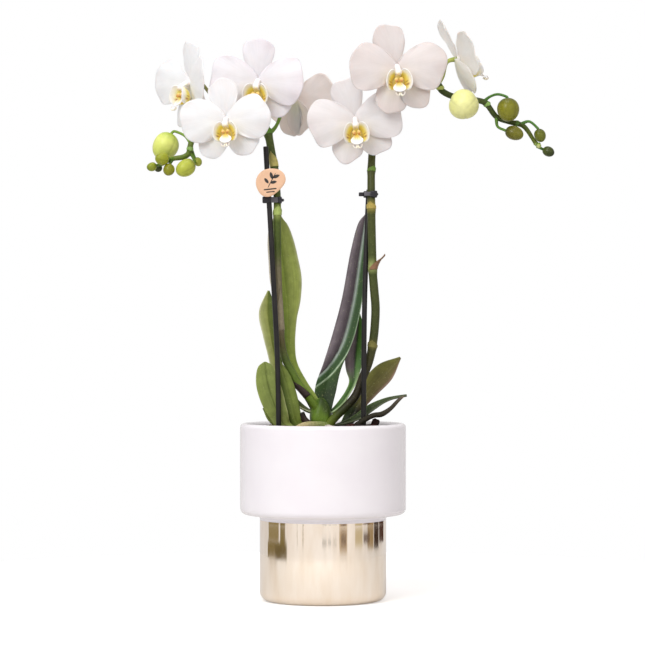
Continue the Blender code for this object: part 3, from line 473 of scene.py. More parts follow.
def chip_shapes(centres, halves, turns, tilts, tones, random):
    """Bark chips: a sphere's grid pushed out to a blocky superellipsoid, where each sine and cosine is
    raised to 0.45 with its sign kept, then roughened point by point, sized, skewed, tilted about Y,
    turned about Z and placed. All chips are worked out as one array."""
    count = len(centres)
    lat, lon = np.meshgrid(np.linspace(-np.pi / 2, np.pi / 2, 7), np.linspace(0, TURN, 12, endpoint=False),
                           indexing="ij")
    round_parts = np.stack([np.cos(lat), np.cos(lon), np.sin(lon), np.sin(lat)])
    level, first, second, up = np.sign(round_parts) * np.abs(round_parts) ** 0.45
    base = np.stack([level * first, level * second, up], axis=-1)
    rough = 1 + random.uniform(-0.16, 0.16, (count, *base.shape))
    rough[:, 0], rough[:, -1] = 1, 1
    shapes = base[None] * rough * np.asarray(halves)[:, None, None]
    shapes[..., 2] += 0.0625 * shapes[..., 0] * random.uniform(-1, 1, (count, 1, 1))
    tilt, turn = np.radians(tilts), np.radians(turns)
    x = shapes[..., 0] * np.cos(tilt)[:, None, None] + shapes[..., 2] * np.sin(tilt)[:, None, None]
    z = -shapes[..., 0] * np.sin(tilt)[:, None, None] + shapes[..., 2] * np.cos(tilt)[:, None, None]
    y = shapes[..., 1]
    c, s = np.cos(turn)[:, None, None], np.sin(turn)[:, None, None]
    placed = np.stack([x * c - y * s, x * s + y * c, z], axis=-1) + np.asarray(centres)[:, None, None]
    return [
        outward(surface(shape, tint(tone) * shade, loop_columns=True))
        for shape, tone, shade in zip(placed, tones, random.uniform(0.8, 1.25, count))
    ]


def bark():
    """A bed of chips: the random ones fill the pot's mouth on a sunflower spiral, and the placed ones
    stand out above the rim."""
    random = np.random.default_rng(7)
    count = 190
    index = np.arange(count)
    radius = 40.0 * np.sqrt((index + 0.5) / count)
    angle = index * np.pi * (3 - np.sqrt(5))
    height = random.uniform(114.6, 117.6, count)
    centres = np.stack([radius * np.cos(angle), radius * np.sin(angle), height], axis=-1)
    halves = np.stack([random.uniform(3.2, 6.0, count), random.uniform(2.2, 4.2, count),
                       random.uniform(1.1, 2.2, count)], axis=-1)
    tones = [CHIP_TONES[pick] for pick in random.integers(0, len(CHIP_TONES), count)]
    turns, tilts = random.uniform(0, 360, count), random.uniform(-22, 22, count)
    loose = chip_shapes(centres, halves, turns, tilts, tones, random)
    spots, sizes, turns, tilts, colours = zip(*PLACED_CHIPS)
    placed = chip_shapes(spots, sizes, turns, tilts, colours, random)
    plug = [(0.0, 39.6), (31.8, 39.6), (42.4, 113.0), (41.6, 114.8), (30.0, 115.4), (0.0, 115.6)]
    bed = outward(lathe(plug, "#2A1B17", 60))
    piece("bark_chips", [bed, *loose, *placed], [bark_chip], "bark", ["bark_bed"])


def roots():
    """Aerial roots: thick dull rods that bump along the bark, and one wiry strand with a twin."""
    mossy = [(0.0, "#56722A"), (0.3, "#7F8A50"), (0.6, "#B8AA80"), (1.0, "#9A8A66")]
    piece("root_left_skin", [
        rod([(3.5, -15.0, 119.0), (1.5, -21.0, 122.6), (-6.0, -23.5, 123.6), (-13.0, -25.0, 122.8),
             (-19.0, -27.0, 120.4), (-24.0, -30.0, 117.6)],
            [2.4, 2.9, 2.6, 2.8, 2.3, 1.8], mossy, 46, 22),
        rod([(-6.0, -14.0, 119.0), (-9.0, -19.0, 121.6), (-14.0, -22.0, 121.6), (-20.0, -24.0, 119.4)],
            [1.8, 2.0, 1.8, 1.4], [(0.0, "#8C8A4A"), (1.0, "#CDB98C")], 30, 18),
    ], [root_skin], "root_skin", ["root_left"])
    piece("root_right_skin", [
        rod([(2.0, -9.0, 119.5), (7.0, -17.0, 120.6), (11.0, -24.0, 119.8), (20.0, -29.0, 117.8)],
            [2.0, 2.3, 2.2, 1.7], [(0.0, "#6F8A3A"), (0.5, "#6C7A3C"), (1.0, "#8F8A5E")], 36, 20),
    ], [root_skin], "root_skin", ["root_right"])
    # The strand goes near black towards the bark: its own dark brown, deepened there as painted shade under
    # the leaves.
    dark = [(0.0, "#1E1A12"), (0.4, "#2C2A1C"), (0.75, "#3E382C"), (1.0, "#6A5E50")]
    piece("root_strand_skin", [
        rod([(18.0, -16.0, 119.5), (27.2, -16.0, 126.0), (34.6, -14.0, 129.8), (41.0, -12.0, 130.8),
             (47.0, -10.6, 134.6), (52.4, -9.6, 140.2), (56.5, -8.6, 143.2)],
            [1.7, 1.9, 1.8, 1.9, 1.5, 1.2, 0.5], dark, 48, 16),
    ], [root_skin], "root_skin", ["root_strand"])


# Crown and leaves -------------------------------------------------------------------------------

def blade(spec, count=110, sides=56):
    """A strap leaf, closed all round: a flat loop (cos p, sin p) carried along the midrib, so that half
    the loop is the face and half the back. Across the blade the section folds up by |x| to a power,
    its face dips along the midrib and its back swells there. Colour is read across the blade, and
    mixed towards another set of colours near the base; a slide (end, pace) moves the colours across by
    pace times the square of the share of the length left before its end."""
    midrib = curve(spec["midrib"], count)
    half = np.maximum(curve(spec["half_width"], count), 0.2)
    tangent = unit(np.gradient(midrib, axis=0))
    share = np.linspace(0, 1, count)
    start, stop = np.radians(spec["across"])
    angle = start + (stop - start) * np.minimum(1.0, share * 2.5)
    flat = np.stack([np.cos(angle), np.sin(angle), np.zeros(count)], axis=-1)
    flat = unit(flat - tangent * np.sum(flat * tangent, axis=1, keepdims=True))
    normal = np.cross(flat, tangent)
    loop = np.linspace(0, TURN, sides, endpoint=False)
    side = np.cos(loop)[None] * np.ones((count, 1))
    face = np.sin(loop)[None]
    lift = spec["fold"] * half[:, None] * np.sqrt(side**2 + 0.012)
    groove = -0.35 * np.exp(-(side / 0.10) ** 2)
    ripple = 0.25 * np.sin(share[:, None] * 17 + 2 * np.sign(side)) * np.abs(side) ** 3
    wall = LEAF_THICKNESS / 2 * np.sign(face) * np.abs(face) ** 0.6
    height = lift + groove + ripple + wall
    points = midrib[:, None] + flat[:, None] * (half[:, None] * side)[..., None] \
        + normal[:, None] * height[..., None]
    first = np.repeat(midrib[None, :1], sides, axis=1)
    last = np.repeat(midrib[None, -1:], sides, axis=1)
    points = np.concatenate([first, points, last])
    end, pace = spec.get("slide", (0.0, 0.0))
    front = blend(spec["front"], side + pace * np.maximum(0.0, end - share[:, None]) ** 2)
    back = blend(spec["back"], side)
    tone = np.where((face >= 0)[..., None], front, back)
    if "base" in spec:
        near_base = np.broadcast_to(1 - (share[:, None] - spec["base_end"]) / 0.15, side.shape)
        tone = mix(tone, blend(spec["base"], side), near_base)
    tone = np.concatenate([tone[:1], tone, tone[-1:]])
    return surface(points, tone, loop_columns=True)


LEAF_THICKNESS = 1.5
# Each leaf: its midrib and half widths in mm, the way across it at the base and further up in degrees
# from +X, how sharply it folds, and its colours from its left margin (-1) to its right one (1).
# Where a leaf's colours dip darker at the midrib (0), that is painted shade in its crease.
LEAVES = {
    "leaf_left_tall": {
        "midrib": [(-3, 1, 132), (-8.4, 2, 141.6), (-14.4, 3, 150.7), (-21.7, 4.5, 164.7),
                   (-23.7, 5.5, 178.7), (-24, 6, 196.3), (-24.6, 6.5, 210.3), (-26.1, 6.5, 224.3),
                   (-27.9, 6.5, 238.4), (-30, 6.5, 252.4), (-31.4, 6.5, 264), (-30.5, 6.5, 270.6)],
        "half_width": [4.4, 4.2, 4, 4, 4.2, 5.6, 9, 11.2, 10.5, 9.1, 6, 0.6],
        "across": (0, 0), "fold": -0.15,
        "front": [(-1, "#CFC9BC"), (-0.84, "#A9A48C"), (-0.74, "#56682A"), (-0.4, "#6E8034"),
                  (-0.1, "#7E8E3E"), (0.02, "#6A7A30"), (0.14, "#879448"), (0.8, "#8C984C"),
                  (0.94, "#98A068"), (1, "#B7BE9C")],
        "back": [(-1, "#8FA855"), (0, "#9FB468"), (1, "#7C9840")],
        # Near the base the left margin goes near black: painted shadow beside the spike.
        "base": [(-1, "#2E381A"), (-0.6, "#5A7028"), (0, "#84963E"), (0.8, "#7C8E3C"), (1, "#8C9A58")],
        "base_end": 0.3,
    },
    "leaf_right_tall": {
        "midrib": [(1, 4, 130), (1.6, 6.6, 146), (6.6, 8.2, 164), (14.4, 9, 185.7), (20.4, 10, 210.3),
                   (25.2, 10.5, 241.9), (28.4, 10, 262.3), (30, 9.5, 270.4)],
        "half_width": [4.4, 7.4, 6.6, 7.6, 7.2, 6.2, 4.2, 0.6],
        "across": (0, 0), "fold": 0.35,
        # Across the face: the purple-grey underside of the left half; a near-black line at the fold edge,
        # painted shade; a silvery band, a painted gloss highlight; a dark green half, its own colour darkened
        # by painted shade; a pale line at the margin, a painted edge highlight. The slide moves them along
        # the twist.
        "front": [(-1, "#5E565C"), (-0.8, "#7F767C"), (-0.3, "#5E555B"), (0.02, "#453E43"), (0.08, "#262A20"),
                  (0.14, "#93A096"), (0.26, "#9AA79E"), (0.36, "#4C6A48"), (0.5, "#2F4A26"),
                  (0.88, "#2C4A24"), (0.95, "#7F9A76"), (1, "#C2D2B8"), (1.05, "#8FA884"), (1.12, "#2F4A1E"),
                  (2.6, "#24361A")],
        "slide": (0.404, 31.9),
        "back": [(-1, "#4E6B34"), (0, "#46622F"), (1, "#3C5A2A")],
    },
    "leaf_right_mid": {
        "midrib": [(0.7, 3, 129), (6.3, 5, 131.5), (12.5, 8, 137), (17.9, 11, 145.4), (21.1, 13.5, 153),
                   (21.4, 16, 161.5), (22, 18.5, 172), (23.2, 19.5, 183), (24.4, 20, 193), (25.4, 20, 201.9)],
        "half_width": [2.6, 2.6, 2.6, 2.2, 2.8, 5.4, 6.6, 6.4, 4.2, 0.6],
        "across": (-80, 0), "fold": 0.3,
        "front": [(-1, "#6F6468"), (-0.5, "#7E7276"), (0, "#5E5458"), (0.2, "#2E4A22"), (0.35, "#4E7A30"),
                  (0.7, "#3F6B28"), (0.9, "#355C22"), (1, "#A9C08A")],
        "back": [(-1, "#4E6B34"), (1, "#3C5A2A")],
        "base": [(-1, "#8FB05A"), (-0.7, "#4C7430"), (0.3, "#35591F"), (1, "#B5CF98")],
        "base_end": 0.42,
    },
    "leaf_left_back": {
        "midrib": [(-3, 4, 130), (-13, 10, 133), (-24, 13, 141.5), (-30.3, 14, 154), (-34.2, 14, 171.6),
                   (-36.7, 14, 185.7), (-38.8, 14, 201.9), (-38.4, 14, 217)],
        "half_width": [3.5, 4, 4.2, 4.4, 4.6, 5.6, 6.4, 0.8],
        "across": (80, 0), "fold": 0.3,
        # The left half is painted pale and the right half dark: painted light and shade on the two halves.
        "front": [(-1, "#D0D2AC"), (-0.75, "#A6AC70"), (-0.1, "#98A058"), (0, "#66702E"), (0.2, "#5C6A2A"),
                  (1, "#4E5E24")],
        "back": [(-1, "#86A24C"), (1, "#6E8C3C")],
    },
    "leaf_left_low": {
        "midrib": [(-4, -5, 119.5), (-16, -9.6, 119.8), (-26.6, -11, 123.2), (-31.6, -11.2, 132.2),
                   (-35.4, -11.2, 142), (-38.6, -11.2, 153.1), (-40, -11.2, 163.4), (-40.4, -11.2, 167.2)],
        "half_width": [2.4, 3, 5, 7, 8.3, 8.1, 5.6, 0.8],
        "across": (60, 0), "fold": 0.05,
        "front": [(-1, "#8E9C54"), (-0.9, "#808E48"), (-0.1, "#7A8846"), (0, "#5C6A2C"), (0.12, "#808E4A"),
                  (0.85, "#808E4C"), (1, "#A2AA70")],
        "back": [(-1, "#6E8A40"), (1, "#62803A")],
    },
    "leaf_left_inner": {
        "midrib": [(-4, -1, 120), (-12, -2.8, 120), (-17.6, -5, 123.4), (-20.8, -6.8, 131.6),
                   (-23.6, -7.6, 144.6), (-27, -7.8, 156.5), (-30.7, -7.8, 167.7)],
        "half_width": [1.6, 2.2, 4, 5.2, 5.2, 4.4, 0.8],
        "across": (50, 0), "fold": 0.05,
        "front": [(-1, "#2E3A14"), (-0.85, "#4A5C22"), (-0.1, "#6C7C38"), (0.4, "#78883E"), (0.9, "#6C7C38"),
                  (1, "#4E5E24")],
        "back": [(-1, "#62803A"), (1, "#587634")],
    },
    "leaf_left_small": {
        "midrib": [(-4, 3, 119.5), (-15, 3, 119.4), (-27, 2, 120.8), (-36, 0, 127.5), (-41.9, -1, 134.6)],
        "half_width": [2.2, 2.6, 3.6, 3.4, 0.6],
        "across": (80, 30), "fold": 0.1,
        "front": [(-1, "#8A9850"), (0, "#6C7A36"), (1, "#7C8A44")],
        "back": [(-1, "#6E8A40"), (1, "#62803A")],
    },
    "leaf_right_low": {
        "midrib": [(1, 3, 121), (12.5, 6, 121.5), (19.2, 8, 127.5), (25.3, 9, 138.4), (33, 10, 148.6),
                   (43.8, 10, 160), (54.4, 9.5, 169.9)],
        "half_width": [2.6, 3.4, 5, 5.8, 7, 7, 0.8],
        "across": (-80, 0), "fold": 0.15,
        "front": [(-1, "#6E7038"), (-0.5, "#6B6A33"), (0.2, "#6A6636"), (0.75, "#6E6440"), (0.88, "#8C7462"),
                  (1, "#A08878")],
        "back": [(-1, "#4E6B2C"), (1, "#46622A")],
        # Its base is painted near black: painted shade under the leaves and the spike.
        "base": [(-1, "#7A8A4A"), (-0.85, "#2A3A1A"), (0, "#1E2612"), (1, "#2A1E18")],
        "base_end": 0.42,
    },
    "leaf_right_narrow": {
        "midrib": [(1, -1, 123), (11, -0.5, 123), (23, -3, 127.6), (34.2, -4.5, 134.8), (45.4, -4.5, 140.6),
                   (58.5, -4.5, 143.7)],
        "half_width": [1.8, 2, 3, 3.4, 2.4, 0.5],
        "across": (-75, -30), "fold": 0.2,
        "front": [(-1, "#556B3C"), (-0.4, "#3A4A26"), (0.3, "#2C3A1E"), (1, "#5A6248")],
        "back": [(-1, "#3C4A2A"), (1, "#333F24")],
    },
}


def leaves():
    """Every leaf, on its own colours."""
    for name, spec in LEAVES.items():
        piece(name + "_blade", [blade(spec)], [leaf_skin], "leaf_green", [name])


def crown():
    """The short stem: an upright egg, its radius swelling in three wrapped leaf bases, and the cut stub
    of an old spike with a dry black end."""
    h, a = np.meshgrid(np.linspace(-1, 1, 40), np.linspace(0, TURN, 48, endpoint=False), indexing="ij")
    ring = np.sqrt(np.maximum(0, 1 - h**2)) * (1 - 0.28 * np.maximum(h, 0) ** 1.5)
    ring = ring * (1 + 0.05 * np.sin(2 * a + 3 * h) + 0.03 * np.sin(5 * a - 4 * h))
    points = np.stack([-1.5 + 7.8 * ring * np.cos(a), 7.2 * ring * np.sin(a), 127.0 + 15.4 * h], axis=-1)
    tone = mix(blend([(-1, "#74842E"), (-0.5, "#566E1E"), (0.1, "#5E7A22"), (1, "#45601C")], h),
               blend([(-1, "#1E2A0E"), (1, "#22300F")], h), 0.5 + 0.5 * np.cos(2 * a + 3 * h) - 0.2)
    stub = rod([(-5, -4, 119), (-9, -5, 122.6), (-13, -5.6, 126.8), (-15, -6, 131.6)], [2.6, 2.8, 2.4, 2],
               [(0, "#4A3C2C"), (0.6, "#3A2E28"), (0.85, "#2A2220"), (1, "#141210")], 26, 18)
    stem = surface(points, tone, loop_columns=True)
    piece("crown_stem", [stem, stub], [leaf_skin], "leaf_green", ["crown"])


# Stakes, spikes and ties ------------------------------------------------------------------------

STAKES = {
    "stake_left": [
        (-30.8, -16, 76), (-30.8, -16, 124), (-31.9, -15, 175), (-34.8, -13, 229), (-37, -10.5, 269),
        (-39, -9.5, 301), (-39.9, -9.5, 316.7),
    ],
    "stake_right": [
        (28.2, -12, 76), (28.2, -12, 124), (28.7, -10.5, 191), (29.6, -7.5, 229), (31.4, -3.5, 276),
        (32.1, -3, 287),
    ],
}

SPIKES = {
    "spike_left": [
        (-3, -2, 132), (-8.4, -2.5, 140.3), (-12.6, -3, 145.9), (-17.5, -4, 152.2), (-21.6, -5, 159.9),
        (-25.8, -6, 167.6), (-28.7, -6.5, 178), (-30.1, -7, 193), (-30.8, -7.5, 210), (-31.5, -7.5, 231),
        (-31.8, -7.5, 247), (-31.9, -7.5, 265), (-32, -7.5, 283), (-34, -5, 303), (-36.2, -2, 315),
        (-38.4, 1, 326), (-42.8, 5, 336.6), (-51.3, 9, 345.4), (-62, 11, 350.4), (-73.2, 11, 349),
        (-83, 9, 340.4), (-89.1, 5, 329.6), (-92.4, 1, 320.2), (-93.7, -3, 313), (-97.7, -5, 310),
        (-104, -6, 308.9), (-109, -7, 306.8), (-112.5, -7.5, 304.5),
    ],
    "spike_right": [
        (2.8, -4.5, 121), (8.5, -6, 128.5), (16, -6.5, 135.7), (23, -6.5, 143.9), (27.9, -6, 156.5),
        (31.9, -6, 166.9), (34.4, -6.5, 177.4), (36, -7.5, 190.7), (36.6, -8.5, 204.6), (35.6, -9, 217.9),
        (34.6, -9, 231.4), (34, -9, 254.8), (33.7, -9, 273.7), (33.6, -7.5, 290), (33.8, -4, 303),
        (34.9, 0, 317.1), (38.6, 3, 330.9), (44.9, 5, 341.5), (52, 6, 350), (57.6, 5, 358.4),
        (62.4, 4, 363.2), (68.7, 3, 364.5), (75.7, 2, 363.4), (80.6, 1, 361.6), (83.2, 0.5, 356.8),
        (90.2, 0, 353), (98.6, -1, 351.4), (107, -2, 350), (114, -2, 347.6), (121.2, -2, 338.4),
        (130.2, -2, 334.8), (138.4, -2, 332.8), (142.5, -2, 329.4), (146.7, -2, 323), (150.4, -2, 317.4),
    ],
}

# Colours along each spike, by knot number.
SPIKE_TONES = {
    "spike_left": [
        (0, "#566E1E"), (2, "#66802A"), (4, "#5A702A"), (5.2, "#4A5A26"), (6.2, "#54502F"), (6.8, "#6E644C"),
        (8, "#7C725A"), (9, "#6E6850"), (9.6, "#505A2C"), (10, "#43511F"), (11, "#4E5E26"), (11.3, "#8A9850"),
        (11.7, "#66762E"), (12.2, "#3F4D20"), (14, "#4C5A28"), (15, "#4A5826"), (16, "#4C5C28"),
        (19, "#6A7A34"), (21, "#66782E"), (22, "#5C6E2C"), (24, "#5F722C"), (27, "#7A8A3C"),
    ],
    # On the right spike, knots 1.5 to 5 go near black: partly the stem's own darker colour, partly painted
    # shade under the leaves.
    "spike_right": [
        (0, "#7C8C36"), (0.8, "#5A6A28"), (1.5, "#303A16"), (2.5, "#22200F"), (4, "#2A2414"), (5, "#3A3A1E"),
        (5.8, "#40421F"), (6.1, "#6E6A34"), (6.5, "#3C4420"), (9, "#434A24"), (9.8, "#404A20"),
        (10.1, "#9AA666"), (10.4, "#444E24"), (11.8, "#444A22"), (12.1, "#A0964A"), (12.4, "#444A22"),
        (14, "#454A21"), (16, "#444C20"), (18, "#3A441C"), (21, "#465020"), (23, "#4C5A28"), (24, "#3C4A1E"),
        (27, "#4A5624"), (29, "#38451A"), (32, "#4A5620"), (34, "#6E7A2C"),
    ],
}

# Joints where the spike swells and carries a bract: knot number, bract length, the side of the spike it
# is on, how far it stands off as a share of its length, and its colour.
JOINTS = {
    "spike_left": [
        (1.5, 26, (-0.9, -0.3, -0.4), 0.1, "#3A2E2B"), (6.8, 30, (0.6, -0.7, 0.3), 0, "#8F856E"),
        (11.25, 7, (0.2, -0.95, 0.2), 0.06, "#A9BC6A"), (13.1, 11, (-0.3, -0.9, 0.2), 0.04, "#BDB46A"),
        (15, 4, (0.4, -0.8, 0.2), 0.1, "#5E8A34"), (22.6, 4, (0.2, -0.9, 0.2), 0.1, "#86A85A"),
    ],
    "spike_right": [
        (6, 5, (-0.2, -0.9, 0.2), 0.1, "#7E7A42"), (10, 10.5, (0.95, -0.3, 0.1), 0.55, "#8C6A50"),
        (12, 5, (-0.2, -0.9, 0.2), 0.05, "#B5A256"), (13.85, 3.6, (0.5, -0.8, 0.2), 0.1, "#6B8A3A"),
        (23.5, 3, (0.3, -0.9, 0.1), 0.1, "#A9B45E"), (28, 3, (0.2, -0.9, 0.2), 0.1, "#86A85A"),
        (30.6, 3, (0.2, -0.9, 0.2), 0.1, "#5E7F3C"), (33.4, 2.4, (0.3, -0.9, -0.2), 0.1, "#8A9A50"),
    ],
}

# Spike radii in mm, as (knot number, radius).
SPIKE_RADII = {
    "spike_left": [(0, 2.7), (12, 2.6), (15, 2.8), (18, 2.3), (21, 2.1), (24, 1.9), (27, 1.2)],
    "spike_right": [(0, 3.0), (9, 3.0), (12, 2.8), (17, 2.4), (24, 2.2), (28, 2.0), (32, 1.6), (34, 1.2)],
}
PEDICEL_RADIUS = 1.25
BUD_STALK_RADIUS = 0.95
STALK_JOINT = 3.1


def bract(foot, tangent, aside, length, radius, off, tone):
    """A papery scale that hugs the stem and ends in a point: a half cone of angle a about the stem,
    whose angle closes as 1 - s^1.6 and which leaves the stem as s^1.5."""
    s = np.linspace(0, 1, 22)[:, None]
    a = np.linspace(-1, 1, 25)[None]
    aside = unit(np.asarray(aside) - tangent * np.dot(aside, tangent))
    across = np.cross(tangent, aside)
    open_angle = a * (2.0 * (1 - s**1.6) + 0.05)
    away = radius * (1.02 + 0.1 * s**2)
    points = foot + tangent * (length * (s * (1 - 0.12 * a**2)))[..., None] \
        + aside * (away * np.cos(open_angle) + off * length * s**1.5)[..., None] \
        + across * (away * np.sin(open_angle))[..., None]
    colours = tint(tone) * (1 - 0.25 * s**3)[..., None] * np.ones((1, 25, 1))
    return surface(points, colours)


def flower_back(spec, far):
    """A point straight behind a flower's centre."""
    return np.array(spec["centre"]) + np.array([0.0, STALK_JOINT + far, 0.0]) @ turn_matrix(*spec["turn"])


def bud_foot(spec, far):
    """A point off a bud's stalk end, along its axis."""
    return np.array(spec["centre"]) + unit(np.array(spec["stalk_side"])) * (spec["size"][1] / 2 - 0.4 + far)


def spikes():
    """Each flower spike: the main stem with swollen joints, its bracts, and a pedicel or stalk for
    every flower and bud, which flares where it leaves the stem."""
    for name, knots in SPIKES.items():
        last = len(knots) - 1
        place = np.arange(0, last + 0.01, 0.25)
        radius = np.interp(place, *zip(*SPIKE_RADII[name]))
        for joint, _, _, _, _ in JOINTS[name]:
            radius = radius + 0.35 * np.exp(-((place - joint) / 0.16) ** 2)
        path = curve(knots, len(place))
        tones = [(at / last, colour) for at, colour in SPIKE_TONES[name]]
        parts = [rod(path, radius, tones, len(place) * 3, 22)]
        bracts = []
        for joint, length, aside, off, tone in JOINTS[name]:
            index = int(round(joint * 4))
            tangent = unit(path[min(index + 1, len(path) - 1)] - path[index - 1])
            bracts.append(bract(path[index], tangent, aside, length, radius[index], off, tone))
        for spec in FLOWERS.values():
            if spec["spike"] == name:
                way = spec["pedicel"] + [tuple(flower_back(spec, 6.0)), tuple(flower_back(spec, -1.6))]
                radii = [1.9, *[PEDICEL_RADIUS] * (len(way) - 3), 1.35, 1.9]
                parts.append(rod(way, radii, spec["pedicel_tone"], 10 * len(way), 18))
        for spec in BUDS.values():
            if spec["spike"] == name:
                way = spec["stalk"] + [tuple(bud_foot(spec, 1.6)), tuple(bud_foot(spec, -0.4))]
                thin = BUD_STALK_RADIUS * (0.8 if spec["size"][0] < 7 else 1.0)
                radii = [1.5 * thin, *[thin] * (len(way) - 2), 1.15 * thin]
                parts.append(rod(way, radii, spec["stalk_tone"], 9 * len(way), 16))
        piece(name + "_stem", parts, [stem_skin], "stem_green", [name])
        piece(name + "_bracts", bracts, [stem_skin], "stem_green", [name], thickness=0.35)


def stakes():
    """Two support stakes: plain rods with a slightly rounded top, pushed into the bark."""
    for name, knots in STAKES.items():
        path = curve(knots, 60)
        cap = path[-1] + unit(path[-1] - path[-2]) * np.array([[0.25], [0.45]])
        stake = rod(np.vstack([path, cap]), [1.8] * 60 + [1.65, 1.2], "#3A3638", 140, 28)
        piece(name + "_rod", [stake], [stake_plastic], "stake_plastic", [name])


def rounded_box(low, high, rounding=0.6, finish=0):
    """A box with soft edges: a sphere's grid pushed out to a cube, shrunk by the rounding, and then
    moved out by the rounding along a direction that is mostly the face's own."""
    low, high = np.array(low), np.array(high)
    lat, lon = np.meshgrid(np.linspace(-np.pi / 2, np.pi / 2, 33), np.linspace(0, TURN, 64, endpoint=False),
                           indexing="ij")
    sphere = np.stack([np.cos(lat) * np.cos(lon), np.cos(lat) * np.sin(lon), np.sin(lat)], axis=-1)
    cube = sphere / np.max(np.abs(sphere), axis=-1, keepdims=True)
    half = (high - low) / 2 - rounding
    points = (low + high) / 2 + cube * half + rounding * unit(sphere * 0.4 + cube**9)
    return surface(points, tint("#26262B"), loop_columns=True, finish=finish)


def hoop(centre):
    """A clip's hoop: a rod bent through a little over half a turn round the stem, open at the back."""
    a = np.linspace(-0.6, np.pi + 0.6, 15)
    knots = np.array(centre) + np.stack([3.9 * np.cos(a), -3.9 * np.sin(a), 0 * a], axis=-1)
    return rod(knots, [1.1] * 15, "#26262B", 60, 14)


def ties():
    """Two spring clips and the tag's small holder: moulded blocks, a hoop round the stem, a finger tab
    and a hinge rib."""
    left = [
        rounded_box((-42.2, -13.0, 277.5), (-36.2, -7.4, 282.2), 0.7),
        # Painted highlight: this face takes the lighter grey copy of the clip plastic.
        rounded_box((-36.6, -12.6, 277.9), (-31.2, -10.6, 281.8), 0.5, finish=1),
        rounded_box((-31.4, -12.8, 277.5), (-28.6, -4.2, 282.2), 0.7),
        rounded_box((-42.2, -5.2, 278.2), (-29.4, -3.9, 281.5), 0.5),
        hoop((-32.0, -7.5, 279.8)),
    ]
    piece("clip_left_body", left, [clip_plastic, clip_painted_highlight], "clip_plastic", ["clip_left"])
    right = [
        rounded_box((28.2, -8.4, 281.6), (32.6, -0.6, 286.2), 0.7),
        rounded_box((32.9, -13.4, 281.5), (37.8, -3.6, 286.3), 0.8),
        # Painted highlight: this face takes the lighter grey copy of the clip plastic.
        rounded_box((28.6, -13.2, 282.6), (34.0, -11.8, 285.4), 0.4, finish=1),
        rounded_box((24.9, -8.4, 282.5), (28.8, -5.1, 285.3), 0.5),
        hoop((33.6, -8.4, 283.9)),
    ]
    piece("clip_right_body", right, [clip_plastic, clip_painted_highlight], "clip_plastic", ["clip_right"])
    piece("tag_holder_body", [
        rounded_box((-41.8, -16.8, 289.2), (-35.0, -8.8, 293.8), 0.6),
    ], [clip_plastic], "clip_plastic", ["tag_holder"])


TAG_CENTRE = np.array([-36.2, -17.6, 291.4])
TAG_SIZE = (20.6, 20.0)
TAG_THICKNESS = 0.8


def tag():
    """A pick-shaped card: rings shrink from the outline to the middle on each face. The print is a
    generic leaf sprig and two plain bars, raised by a hair."""
    outline = curve([
        (-0.02, 0.50), (0.24, 0.47), (0.44, 0.32), (0.50, 0.10), (0.42, -0.10), (0.22, -0.32), (0.02, -0.46),
        (-0.16, -0.49), (-0.34, -0.40), (-0.47, -0.18), (-0.50, 0.06), (-0.42, 0.28), (-0.24, 0.44),
        (-0.02, 0.50),
    ], 97)[:-1] * np.array(TAG_SIZE)
    half = TAG_THICKNESS / 2
    rings = [(0.0, -half), (0.4, -half), (0.8, -half), (0.985, -half), (1.0, -half * 0.6), (1.0, half * 0.6),
             (0.985, half), (0.8, half), (0.4, half), (0.0, half)]
    share, depth = np.array(rings).T[..., None]
    points = np.stack([share * outline[:, 0], depth + 0 * outline[:, 0], share * outline[:, 1]], axis=-1)
    board = surface(points + TAG_CENTRE, tint("#E8BE9C"), loop_columns=True)

    def patch(length, width, turn, spot, power, tone):
        """A flat leaf or bar: width follows (1 - x^2) to a power along its length."""
        x = np.linspace(-1, 1, 30)[:, None]
        y = np.linspace(-1, 1, 7)[None]
        flat = np.stack([x * length / 2 + 0 * y, y * width / 2 * np.abs(1 - x**2) ** power], axis=-1)
        c, s = np.cos(np.radians(turn)), np.sin(np.radians(turn))
        placed = np.stack([
            spot[0] + flat[..., 0] * c - flat[..., 1] * s, np.full(flat.shape[:2], -half - 0.06),
            spot[1] + flat[..., 0] * s + flat[..., 1] * c,
        ], axis=-1)
        return surface(placed + TAG_CENTRE, tint(tone))

    ink = "#2A2523"
    print_parts = [
        patch(11.5, 0.55, 62, (0.6, 1.6), 0.2, ink),
        patch(5.4, 2.3, 20, (3.6, 4.4), 0.8, ink), patch(5.0, 2.2, 105, (0.4, 5.0), 0.8, ink),
        patch(4.8, 2.1, 12, (1.8, 0.4), 0.8, ink), patch(4.6, 2.0, 128, (-3.0, 1.4), 0.8, ink),
        patch(9.0, 0.9, 6, (-0.4, -4.4), 0.05, ink), patch(6.0, 0.8, 6, (-0.2, -6.3), 0.05, ink),
    ]
    piece("tag_board", [board], [card], "tag_card", ["plant_tag"])
    piece("tag_print", print_parts, [card], "tag_card", ["plant_tag"], thickness=0.05)
